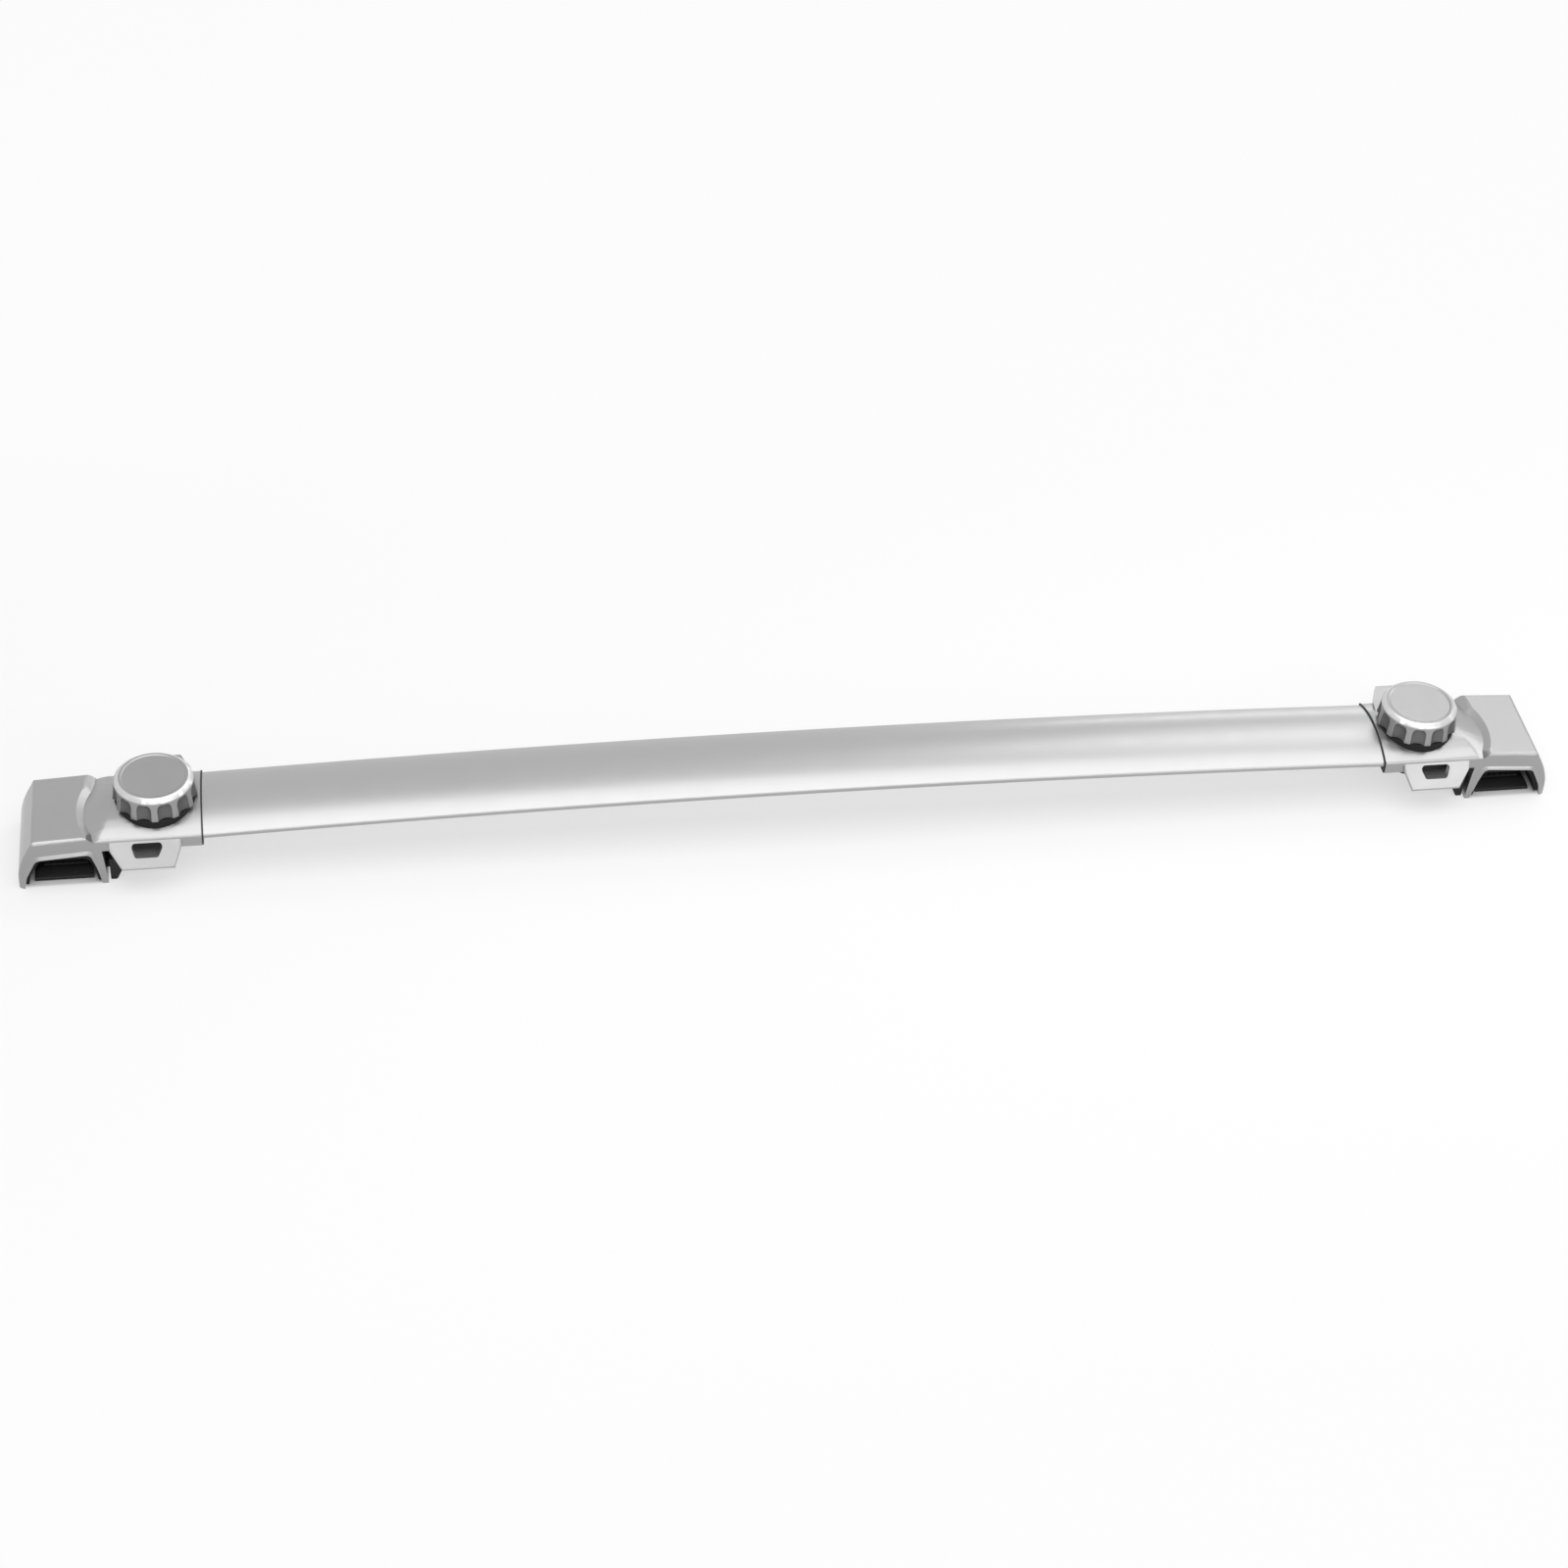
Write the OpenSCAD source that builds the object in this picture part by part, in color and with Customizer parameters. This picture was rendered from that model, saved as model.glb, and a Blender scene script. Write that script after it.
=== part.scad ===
// Roof rack crossbar: one bowed aero bar between two clamp feet that grip raised side rails.
// Millimetres, Z up, X along the bar, +Y towards the rear. The hood tips stand on z = 0.

/* [Bar] */
// Length of bar that shows between the two feet
bar_show = 886; // [700:1:1100]
// Depth of the bar, nose to nose
bar_w = 70; // [64:1:76]
// Rise of the top skin above the nose line
bar_crown = 10; // [8:0.5:12]
// Drop of the bottom skin below the nose line
bar_belly = 5; // [4:0.5:6]
// Radius of the two noses
bar_nose_r = 2.6; // [2:0.1:3.4]
// Wall of the extrusion
bar_wall = 2; // [1.6:0.1:2.4]
// Distance of each web from the middle of the bar
web_y = 15; // [13:0.5:18]
// Rise of the middle of the bar above its seams
bar_bow = 7.6; // [5:0.1:10]
// Height of the nose line at the seams
bar_z = 38; // [37:0.5:40]
// Length of bar held inside each collar
bar_insert = 14; // [11:0.5:15]

/* [Foot] */
// Length of a foot from its seam to its outer wall
foot_len = 132.4; // [128:0.2:138]
// Depth of the hood and the collar
foot_depth = 72; // [72:1:78]
// Height of the collar's lower edge
floor_z = 31; // [30:0.5:32]
// Skin of the collar over the bar
collar_skin = 1; // [0.8:0.1:1.4]
// General wall of the housing
foot_wall = 2.5; // [2:0.1:3]
// Distance from the seam to the clamp screw
knob_x = 32; // [31:0.5:34]
// Reach of the front eyelet and the rear lug from the middle
reach = 48; // [46:0.5:50]

/* [Hood] */
// Distance from the seam to the inner leg at the floor
leg_x = 69; // [68:0.5:70]
// Distance from the seam to the inner edge of the hood's top
hood_in_x = 82.5; // [81:0.5:84]
// Distance from the seam to the outer edge of the hood's top
hood_out_x = 120.4; // [118:0.2:122]
// Height of the hood's top at its inner edge
hood_z = 43.8; // [43:0.1:46]
// Fall of the hood's top to its outer edge
hood_fall = 2.2; // [1:0.1:3]
// Radius of the hood's long edges
hood_edge_r = 3.4; // [2:0.1:4]
// Height of the arch's crown at its inner end
arch_z = 28.9; // [27.5:0.1:29.5]
// Fall of the arch's crown to its outer end
arch_fall = 3.1; // [2:0.1:4]
// Width of the rim beside the arch at the inner leg
rim_in = 4; // [3.5:0.1:5]
// Width of the rim beside the arch at the outer wall
rim_out = 4; // [3.6:0.1:5]
// Radius of the arc where the pad ends at the hood
pad_end_r = 52; // [50:0.5:54]
// Slope of the pad down to that arc
pad_slope = 22; // [19:1:30]
// Slope of the hood up from that arc
hood_slope = 31; // [25:1:40]
// Thickness of the rubber liner
liner_t = 2.6; // [2:0.1:3.2]

/* [Eyelet] */
// Height of the eyelet's lower edge
eyelet_z = 19; // [18:0.5:21]
// Thickness of the eyelet's slab
eyelet_t = 4.5; // [3.5:0.1:5]
// Height of the lower edge of the eyelet's window
window_z = 28.4; // [27:0.2:30]
// Height of the window
window_h = 8.8; // [7:0.2:9.4]
// Width of the window at its top
window_w = 24.6; // [20:0.2:28]
// Radius of the lashing hole in the rear lug
lug_hole_r = 3.25; // [2.5:0.05:3.5]

/* [Knob] */
// Outer radius of the knob
knob_r = 30.5; // [29:0.5:32]
// Height of the knob
knob_h = 18.5; // [17:0.5:21]
// Radius of the knob's flat face
knob_face_r = 25; // [23:0.5:26]
// Height of the light chamfer below the face
knob_chamfer = 3; // [2:0.5:4]
// Number of finger flutes
flutes = 12; // [8:1:14]
// Radius of each flute
flute_r = 6.2; // [4:0.1:6.6]

/* [Clamp] */
// Radius of the clamp stud
stud_r = 4; // [3.5:0.1:4.5]
// Lift of one turn of the stud
pitch = 1.25; // [1:0.05:1.5]
// Lift of the jaw from released to tight
travel = 7.5; // [5:0.5:8]
// Thickness of the jaw's arm
arm_t = 8; // [7.4:0.1:9]
// Width of the jaw along the rail
jaw_w = 66; // [50:1:68]
// Width of the toe's neck, where it passes through the inner leg
toe_w = 39; // [30:1:42]
// Width of the toe's head, which closes the channel under the rail
head_w = 60; // [50:1:64]
// Gap between the toe's head and the liner when the jaw is tight
head_gap = 0.9; // [0.6:0.1:1.4]
// Wire diameter of the return spring
wire_d = 1.4; // [1:0.1:1.6]
// Turns of the return spring
spring_turns = 4; // [3:0.5:4.5]

/* [Clearances] */
// Gap around the bar in its socket
bar_gap = 0.2; // [0.1:0.05:0.3]
// Radial running clearance of the stud
run_gap = 0.06; // [0.03:0.01:0.1]
// Gap between parts that slide past each other
slide_gap = 0.3; // [0.2:0.05:0.5]

/* [Hidden] */

silver = [0.76, 0.77, 0.78];
pale_silver = [0.83, 0.83, 0.84];
black = [0.07, 0.07, 0.08];
rubber = [0.04, 0.04, 0.04];
zinc = [0.62, 0.63, 0.66];

// More than any part is long, for cuts that run right through
far = 200;
eps = 0.01;
round_fn = 96;
// Turn of each step along a fillet
fillet_step = 9;

// Bar section: two arcs tangent to the nose circles
seam_x = bar_show / 2;
nose_y = bar_w / 2 - bar_nose_r;
crown_r = arc_radius(nose_y, bar_crown, bar_nose_r);
belly_r = arc_radius(nose_y, bar_belly, bar_nose_r);
bow_r = (seam_x * seam_x + bar_bow * bar_bow) / (2 * bar_bow);
spigot_len = 40;

// Foot heights, worked out from the bar and the floor
half_depth = foot_depth / 2;
pad_top_z = bar_z + bar_crown + collar_skin;
seat_r = 20;
seat_z = pad_top_z + 0.5;
washer_t = 1;
washer_r = 12.5;
knob_z = seat_z + washer_t;
plate_t = 3;
plate_x0 = bar_insert + foot_wall + 1;
plate_x1 = leg_x - foot_wall - 1;
recess_y = half_depth - 9;
valley_z = hood_z - 3.3;
valley_y = -4;
pocket_y0 = -(recess_y - foot_wall);
pocket_y1 = half_depth - foot_wall - 0.5;

// Eyelet slab: its outer face runs from the pad's front edge down and forwards
slab_top = [-(half_depth - 1.5), bar_z + bar_nose_r];
slab_foot = [-reach, eyelet_z + 2.6];
slab_dir = (slab_foot - slab_top) / norm(slab_foot - slab_top);
slab_in = [-slab_dir[1], slab_dir[0]] * eyelet_t;
eyelet_x = knob_x + 6.7;
eyelet_x0 = 14.5;
eyelet_x1 = leg_x - 2.5;

// Clamp stack, released
arm_z = 9;
jaw_foot_z = 0.6;
jaw_x1 = leg_x - 1.7;
head_x0 = leg_x + 7.4 + liner_t - 0.6 + head_gap;
head_x1 = foot_len - rim_out - 2.3 - liner_t - 1 - head_gap;
jaw_plate_t = 10;
peg_r = 3;
peg_x = knob_x + 12.5;
peg_y = 9.5;
nut_af = 13;
nut_h = 6.5;
head_h = 5.5;
head_z = knob_z + 6.5;
stud_end_z = 3;
clip_t = 1;
clip_z = floor_z - clip_t - 0.3;
toe_t = 6;
grip_t = 2;
notch_x1 = leg_x + 18;
notch_z = jaw_foot_z + toe_t + grip_t + travel + 1.2;
spring_r = 8.8;

// Screws that hold the base plates and the bar
base_screw_r = 2;
bar_screw_r = 2.5;
base_screws_at = [[24, 24], [59.5, 24], [59.5, -17], [23.5, -17]];
bar_screws_at = [[7.5, 8], [7.5, -8]];

// Radius of an arc that rises c above the line of two nose circles r, a apart from the middle
function arc_radius(a, c, r) = (a * a + c * c - r * r) / (2 * (c - r));

// Height of the collar's top skin at a depth y
function pad_height(y) =
    bar_z + bar_crown - crown_r + sqrt(pow(crown_r + collar_skin, 2) - y * y);

// Unit vector from p to q
function way(p, q) = (q - p) / norm(q - p);

// Distance from corner p to its tangent points for a fillet r between neighbours a and b
function tangent(a, p, b, r) =
    r / tan(acos(min(1, max(-1, way(p, a) * way(p, b)))) / 2);

// Points along the fillet of radius r at corner p between its neighbours a and b
function fillet(a, p, b, r) =
    let (
        t = tangent(a, p, b, r),
        middle = way(p, a) + way(p, b),
        centre = p + middle / norm(middle) * norm([t, r]),
        from = p + way(p, a) * t - centre,
        to = p + way(p, b) * t - centre,
        start = atan2(from[1], from[0]),
        turn = atan2(from[0] * to[1] - from[1] * to[0], from * to),
        steps = max(2, ceil(abs(turn) / fillet_step))
    )
    [for (k = [0 : steps]) centre + r * [cos(start + turn * k / steps), sin(start + turn * k / steps)]];

// Convex polygon whose corners have their own radii
module rounded(points, radii) {
    n = len(points);
    polygon([
        for (i = [0 : n - 1])
            let (a = points[(i + n - 1) % n], p = points[i], b = points[(i + 1) % n])
            each radii[i] > 0 ? fillet(a, p, b, radii[i]) : [p]
    ]);
}

// Extrudes a (y, z) outline along X from x0 to x1
module along_x(x0, x1) {
    translate([x0, 0, 0]) rotate([90, 0, 90]) linear_extrude(x1 - x0) children();
}

// Extrudes an (x, z) outline along Y from y0 to y1
module along_y(y0, y1) {
    translate([0, y1, 0]) rotate([90, 0, 0]) linear_extrude(y1 - y0) children();
}

// Sweeps a (height, depth) outline along the bow of the bar, from x0 to x1
module along_bow(x0, x1) {
    a0 = 90 - asin(x1 / bow_r);
    a1 = 90 - asin(x0 / bow_r);
    translate([0, 0, bar_z + bar_bow - bow_r])
        rotate([90, 0, 0])
            rotate_extrude(angle = a1 - a0, start = a0, $fn = 720)
                translate([bow_r, 0]) children();
}

// Puts the children at the right-hand foot, or mirrored at the left-hand one
module at_foot(left) {
    mirror([left ? 1 : 0, 0, 0]) translate([seam_x, 0, 0]) children();
}

// One half of the aero section, above or below the nose line
module half_section(rise, r, grow, up) {
    lean = [r - rise, nose_y] / norm([r - rise, nose_y]);
    span = 2 * (rise + grow + bar_nose_r);
    mirror([up ? 0 : 1, 0])
        intersection() {
            translate([rise - r, 0]) circle(r = r + grow, $fn = 360);
            polygon([
                [0, -nose_y], [0, nose_y],
                [lean[0] * span, nose_y + lean[1] * span], [lean[0] * span, -nose_y - lean[1] * span]
            ]);
        }
}

// Aero section as (height, depth) about the nose line, grown outwards by grow
module aero(grow = 0) {
    half_section(bar_crown, crown_r, grow, true);
    half_section(bar_belly, belly_r, grow, false);
    for (side = [-1, 1]) {
        translate([0, side * nose_y]) circle(r = bar_nose_r + grow, $fn = round_fn);
    }
}

// Hollow of the section between two depths, inset from both skins
module cell(y0, y1, inset) {
    intersection() {
        translate([bar_crown - crown_r, 0]) circle(r = crown_r - inset, $fn = 360);
        translate([belly_r - bar_belly, 0]) circle(r = belly_r - inset, $fn = 360);
        translate([-bar_crown, y0]) square([3 * bar_crown, y1 - y0]);
    }
}

// Sweeps an outline through the whole bar, in two halves that meet, or lap, at its highest point
module bar_sweep(x_end, lap = 0) {
    along_bow(-lap, x_end) children();
    mirror([1, 0, 0]) along_bow(-lap, x_end) children();
}

// Bored screw places of the bar, for both ends
module bar_screw_shanks(r, z0, z1) {
    for (left = [false, true], at = bar_screws_at) {
        at_foot(left) translate([at[0], at[1], z0]) cylinder(r = r, h = z1 - z0, $fn = 48);
    }
}

module bar() {
    end_x = seam_x + bar_insert;
    web_half = bar_wall / 2;
    color(silver)
        difference() {
            bar_sweep(end_x, 2) aero();
            bar_sweep(end_x + 1) cell(-web_y + web_half, web_y - web_half, bar_wall);
            bar_sweep(end_x + 1) cell(web_y + web_half, nose_y - 1, bar_wall);
            bar_sweep(end_x + 1) cell(-nose_y + 1, -web_y - web_half, bar_wall);
            bar_screw_shanks(bar_screw_r + bar_gap, floor_z - 1, bar_z);
        }
}

// Collar and pad section as (y, z): the bar's top skin grown outwards, over straight sides
module pad_section() {
    translate([0, bar_z]) mirror([1, -1]) aero(collar_skin);
    translate([-nose_y - bar_nose_r - collar_skin, floor_z])
        square([2 * (nose_y + bar_nose_r + collar_skin), bar_z - floor_z]);
}

// Cone about the knob's side of the foot, with radius pad_end_r at the valley and a slope above it
module valley_cone(slope, below, above) {
    run = (slope > 0 ? 1 : -1) / tan(abs(slope));
    translate([knob_x, valley_y, valley_z - below])
        cylinder(r1 = pad_end_r - below * run, r2 = pad_end_r + above * run, h = below + above, $fn = 240);
}

// Everything that the pad may fill: it falls in a cone round the knob, down to the hood
module pad_end() {
    valley_cone(-pad_slope, 12, 12);
    translate([-1, -far / 2, 0]) cube([knob_x + 1, far, far]);
}

// Outline of the hood seen from the front, as (x, z)
module hood_outline() {
    rounded([
        [foot_len, 0], [foot_len, 7], [hood_out_x + 6.2, hood_z - 19], [hood_out_x, hood_z - hood_fall],
        [hood_in_x, hood_z], [hood_in_x - 6, hood_z - 4.6], [leg_x + 2.4, floor_z], [leg_x + 1.2, floor_z - 13],
        [leg_x, 0]
    ], [0, 5, 12, hood_edge_r, 5, 5, 4, 0, 0]);
}

// Outline of the rail channel under the hood, shrunk by inset, as (x, z); the shrunk one has a level crown
module channel_outline(inset) {
    crown_z = arch_z - arch_fall - inset;
    rounded([
        [foot_len - rim_out - inset, -1], [foot_len - rim_out - 2.2 - inset, 10],
        [hood_out_x - 1.9 - inset, crown_z],
        [leg_x + 11 + inset, inset > 0 ? crown_z : arch_z],
        [leg_x + 7.4 + inset, 17.5], [leg_x + rim_in + inset, -1]
    ], [0, 10, 6, 5, 10, 0]);
}

// Side outline of the hood with its rounded long edges, as (y, z)
module hood_side(r) {
    top_z = hood_z + 0.4;
    rounded([[-half_depth, -1], [-half_depth, top_z], [half_depth, top_z], [half_depth, -1]], [0, r, r, 0]);
}

module hood_outer() {
    difference() {
        intersection() {
            along_y(-half_depth, half_depth) hood_outline();
            along_x(0, foot_len + 1) hood_side(hood_edge_r);
        }
        valley_cone(hood_slope, 3, 6);
    }
}

// Tie-down eyelet: a slab that leans forwards from the pad's front edge
module eyelet() {
    intersection() {
        along_x(0, leg_x + 4)
            polygon([
                slab_top + [8, 0], slab_top, slab_foot, slab_foot + slab_in, slab_top + slab_in + [8, -2]
            ]);
        along_y(-reach, 0)
            rounded([
                [eyelet_x0, bar_z + 5], [eyelet_x0, floor_z + 2.5], [eyelet_x0 + 7, eyelet_z - 1],
                [eyelet_x1 - 11, eyelet_z - 1], [eyelet_x1, floor_z + 2.5], [eyelet_x1, bar_z + 5]
            ], [0, 4, 5, 5, 4, 0]);
    }
}

// Window of the eyelet as (x, z)
module window_outline() {
    half = window_w / 2;
    rounded([
        [eyelet_x - half, window_z + window_h], [eyelet_x - half + 5, window_z],
        [eyelet_x + half - 3, window_z], [eyelet_x + half, window_z + window_h]
    ], [2.5, 2.5, 2.5, 2.5]);
}

// Space behind the window where a strap passes, open downwards, as (y, z)
module strap_way_outline() {
    back = slab_top + slab_in;
    rise = window_z + window_h + 0.6;
    lean = slab_dir[0] / slab_dir[1];
    polygon([
        [back[0] + (floor_z - 2 - back[1]) * lean, floor_z - 2], [back[0] + (rise - back[1]) * lean, rise],
        [-recess_y, rise], [-recess_y, floor_z - 2]
    ]);
}

// Rear lug: a shelf level with the pad's crown
module rear_lug() {
    lug_top = pad_top_z - 1.8;
    intersection() {
        along_x(0, leg_x)
            rounded([[10, lug_top], [10, lug_top - 10], [half_depth, lug_top - 9], [reach, lug_top - 4],
                [reach, lug_top]], [0, 0, 0, 1.5, 1.5]);
        translate([0, 0, floor_z])
            linear_extrude(far)
                rounded([[5, 10], [7, 29], [knob_x - 18, reach], [knob_x + 11, reach], [knob_x + 29, 22],
                    [knob_x + 29, 10]], [0, 6, 4, 4, 6, 0]);
    }
}

// Tube from the roof of the pocket down to the base plate, round a screw or the stud
module boss(at, r) {
    translate([at[0], at[1], floor_z + plate_t])
        cylinder(r = r, h = pad_height(abs(at[1]) + r) - foot_wall - floor_z - plate_t + 1, $fn = 48);
}

// Pocket under the pad, roofed parallel to its skin
module pocket() {
    intersection() {
        along_x(plate_x0, plate_x1)
            intersection() {
                translate([pocket_y0, floor_z - 1]) square([pocket_y1 - pocket_y0, far]);
                translate([0, bar_z + bar_crown - crown_r])
                    circle(r = crown_r + collar_skin - foot_wall, $fn = 360);
            }
        translate([0, 0, -foot_wall]) pad_end();
    }
}

// Notch in the inner leg, open downwards, that the toe's neck slides in
module toe_notch() {
    translate([leg_x - 2, -toe_w / 2 - 1.5, -1]) cube([notch_x1 - leg_x + 2, toe_w + 3, notch_z + 1]);
}

module foot_solid() {
    intersection() {
        along_x(0, foot_len) pad_section();
        pad_end();
    }
    hood_outer();
    eyelet();
    rear_lug();
    translate([knob_x, 0, floor_z + 1]) cylinder(r = seat_r, h = seat_z - floor_z - 1, $fn = 120);
}

module foot_housing(left) {
    color(pale_silver) at_foot(left)
        difference() {
            union() {
                difference() {
                    foot_solid();
                    translate([-seam_x, 0, 0])
                        along_bow(seam_x - 2, seam_x + bar_insert + bar_gap) aero(bar_gap);
                    along_y(-far, far) channel_outline(0);
                    pocket();
                    along_x(eyelet_x - 15, eyelet_x + 15) strap_way_outline();
                    along_y(-far, 0) window_outline();
                    toe_notch();
                    translate([knob_x - 7, half_depth + lug_hole_r + 1, 0])
                        cylinder(r = lug_hole_r, h = far, $fn = 48);
                }
                translate([-seam_x, 0, 0])
                    along_bow(seam_x - spigot_len, seam_x + bar_insert + 2)
                        cell(-web_y + bar_wall / 2 + bar_gap, web_y - bar_wall / 2 - bar_gap,
                            bar_wall + bar_gap);
                intersection() {
                    union() {
                        boss([knob_x, 0], stud_r + 4);
                        for (at = base_screws_at) {
                            boss(at, base_screw_r + 2.2);
                        }
                    }
                    along_x(0, leg_x) pad_section();
                    pad_end();
                }
            }
            translate([knob_x, 0, 0]) cylinder(r = stud_r + run_gap, h = far, $fn = 64);
            for (at = base_screws_at) {
                translate([at[0], at[1], 0]) cylinder(r = base_screw_r, h = floor_z + 8.5, $fn = 48);
            }
            for (at = bar_screws_at) {
                translate([at[0], at[1], 0]) cylinder(r = bar_screw_r, h = bar_z + 4, $fn = 48);
            }
        }
}

// Thin ring that fills the seam between the bar and the collar
module seam_gasket(left) {
    gasket_t = 1.2;
    color(rubber) at_foot(left)
        difference() {
            along_x(-gasket_t, 0) translate([0, bar_z]) mirror([1, -1]) aero(collar_skin - 0.2);
            translate([-seam_x, 0, 0]) along_bow(seam_x - 4, seam_x + 3) aero(0.02);
        }
}

// Black cover under the pad, with two pegs that guide the jaw
module base_plate(left) {
    color(black) at_foot(left)
        difference() {
            union() {
                translate([plate_x0 + bar_gap, pocket_y0 + bar_gap, floor_z])
                    cube([plate_x1 - plate_x0 - 2 * bar_gap, pocket_y1 - pocket_y0 - 2 * bar_gap, plate_t]);
                for (side = [-1, 1]) {
                    translate([peg_x, side * peg_y, arm_z + 1])
                        cylinder(r = peg_r, h = floor_z - arm_z, $fn = 48);
                }
            }
            translate([knob_x, 0, 0]) cylinder(r = stud_r + run_gap, h = far, $fn = 64);
            for (at = base_screws_at) {
                translate([at[0], at[1], 0]) cylinder(r = base_screw_r + 0.2, h = far, $fn = 48);
            }
        }
}

// Rubber liner of the rail channel
module rail_liner(left) {
    setback = 2;
    color(rubber) at_foot(left)
        difference() {
            along_y(-half_depth + setback, half_depth - setback)
                intersection() {
                    channel_outline(0);
                    translate([0, 1.5]) square([far, far]);
                }
            along_y(-far, far) channel_outline(liner_t);
            toe_notch();
        }
}

// Pan-head screw pointing up from z0
module pan_screw(r, z0, len) {
    head_r = 1.9 * r;
    translate([0, 0, z0]) cylinder(r = r, h = len, $fn = 48);
    difference() {
        translate([0, 0, z0 - 1.2 * r]) cylinder(r1 = head_r - 0.5 * r, r2 = head_r, h = 1.2 * r, $fn = 48);
        translate([0, 0, z0 - 1.2 * r - eps]) cylinder(r = 0.75 * r, h = 0.7 * r, $fn = 6);
    }
}

module bar_screws() {
    color(zinc)
        for (left = [false, true], at = bar_screws_at) {
            at_foot(left) translate([at[0], at[1], 0]) pan_screw(bar_screw_r, floor_z, bar_z + 4 - floor_z);
        }
}

module base_screws() {
    color(zinc)
        for (left = [false, true], at = base_screws_at) {
            at_foot(left) translate([at[0], at[1], 0]) pan_screw(base_screw_r, floor_z, 8.5);
        }
}

// Turned outline of the knob as (radius, height)
module knob_profile() {
    top = knob_z + knob_h;
    polygon([
        [0, knob_z], [knob_r - 0.8, knob_z], [knob_r, knob_z + 0.8], [knob_face_r + 3.6, top - knob_chamfer],
        [knob_face_r, top], [knob_face_r - 1.6, top], [knob_face_r - 2.2, top - 0.5], [0, top - 0.5]
    ]);
}

// Finger flute that ends in an arched top below the face
module flute() {
    arch_top = knob_z + knob_h - knob_chamfer - 1.4;
    translate([knob_r + 3.4, 0, knob_z - 1]) cylinder(r = flute_r, h = arch_top - flute_r - knob_z + 1, $fn = 48);
    translate([knob_r + 3.4, 0, arch_top - flute_r]) sphere(r = flute_r, $fn = 48);
}

module knob(left) {
    hub_r = 11;
    shell_r = 23.5;
    roof = knob_z + knob_h - 5;
    ribs = 6;
    color(silver) at_foot(left) translate([knob_x, 0, 0])
        difference() {
            rotate_extrude($fn = 120) knob_profile();
            for (i = [0 : flutes - 1]) {
                rotate([0, 0, (i + 0.5) * 360 / flutes]) flute();
            }
            difference() {
                translate([0, 0, knob_z - 1]) cylinder(r = shell_r, h = roof - knob_z + 1, $fn = 96);
                translate([0, 0, knob_z - 2]) cylinder(r = hub_r, h = far, $fn = 64);
                for (i = [0 : ribs - 1]) {
                    rotate([0, 0, i * 360 / ribs]) translate([0, -1, knob_z + 1]) cube([shell_r + 1, 2, far]);
                }
            }
            translate([0, 0, knob_z - 1]) cylinder(r = stud_r, h = head_z - knob_z + 2, $fn = 64);
            translate([0, 0, head_z]) cylinder(d = nut_af / cos(30), h = head_h, $fn = 6);
        }
}

module clamp_stud(left) {
    groove_r = stud_r - 0.6;
    color(zinc) at_foot(left) translate([knob_x, 0, 0])
        difference() {
            union() {
                translate([0, 0, stud_end_z + 1]) cylinder(r = stud_r, h = head_z - stud_end_z - 1, $fn = 64);
                translate([0, 0, stud_end_z]) cylinder(r1 = stud_r - 1, r2 = stud_r, h = 1, $fn = 64);
                translate([0, 0, head_z]) cylinder(d = nut_af / cos(30), h = head_h, $fn = 6);
            }
            difference() {
                translate([0, 0, clip_z]) cylinder(r = stud_r + 1, h = clip_t, $fn = 64);
                translate([0, 0, clip_z - 1]) cylinder(r = groove_r, h = clip_t + 2, $fn = 64);
            }
        }
}

module knob_washer(left) {
    color(zinc) at_foot(left) translate([knob_x, 0, seat_z])
        difference() {
            cylinder(r = washer_r, h = washer_t, $fn = 96);
            translate([0, 0, -1]) cylinder(r = stud_r, h = washer_t + 2, $fn = 64);
        }
}

// Spring clip in the stud's groove, under the base plate
module stud_clip(left) {
    clip_r = stud_r + 3;
    color(zinc) at_foot(left) translate([knob_x, 0, clip_z])
        difference() {
            cylinder(r = clip_r, h = clip_t, $fn = 64);
            translate([0, 0, -1]) cylinder(r = stud_r - 0.6, h = clip_t + 2, $fn = 64);
            translate([0, -2.4, -1]) cube([clip_r + 1, 4.8, clip_t + 2]);
        }
}

// Outline of the jaw's upright as (x, z)
module jaw_plate_outline() {
    x0 = jaw_x1 - jaw_plate_t;
    plate_top = 20;
    rounded([
        [x0, 12], [x0 + 5.4, jaw_foot_z], [jaw_x1, jaw_foot_z], [jaw_x1, plate_top], [x0, plate_top]
    ], [0, 2, 1, 1, 0]);
}

// Side outline of the toe's head, bevelled to the front and the rear, as (y, z)
module head_side() {
    half = head_w / 2;
    low = jaw_foot_z;
    top = jaw_foot_z + toe_t;
    rounded([
        [-half, low], [-half, low + 2], [-half + 8, top], [half - 8, top], [half, low + 2], [half, low]
    ], [0, 1, 5, 5, 1, 0]);
}

// Toe of the jaw: a neck through the inner leg, and a wide head under the rail
module toe() {
    top = jaw_foot_z + toe_t;
    translate([jaw_x1 - 2, -toe_w / 2, jaw_foot_z]) cube([head_x0 - jaw_x1 + 4, toe_w, toe_t]);
    intersection() {
        along_y(-head_w / 2, head_w / 2)
            rounded([
                [head_x0, jaw_foot_z], [head_x1, jaw_foot_z], [head_x1, top - 3.6], [head_x1 - 3.6, top], [head_x0, top]
            ], [0, 0, 1.5, 1.5, 1]);
        along_x(head_x0, head_x1) head_side();
    }
}

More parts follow.
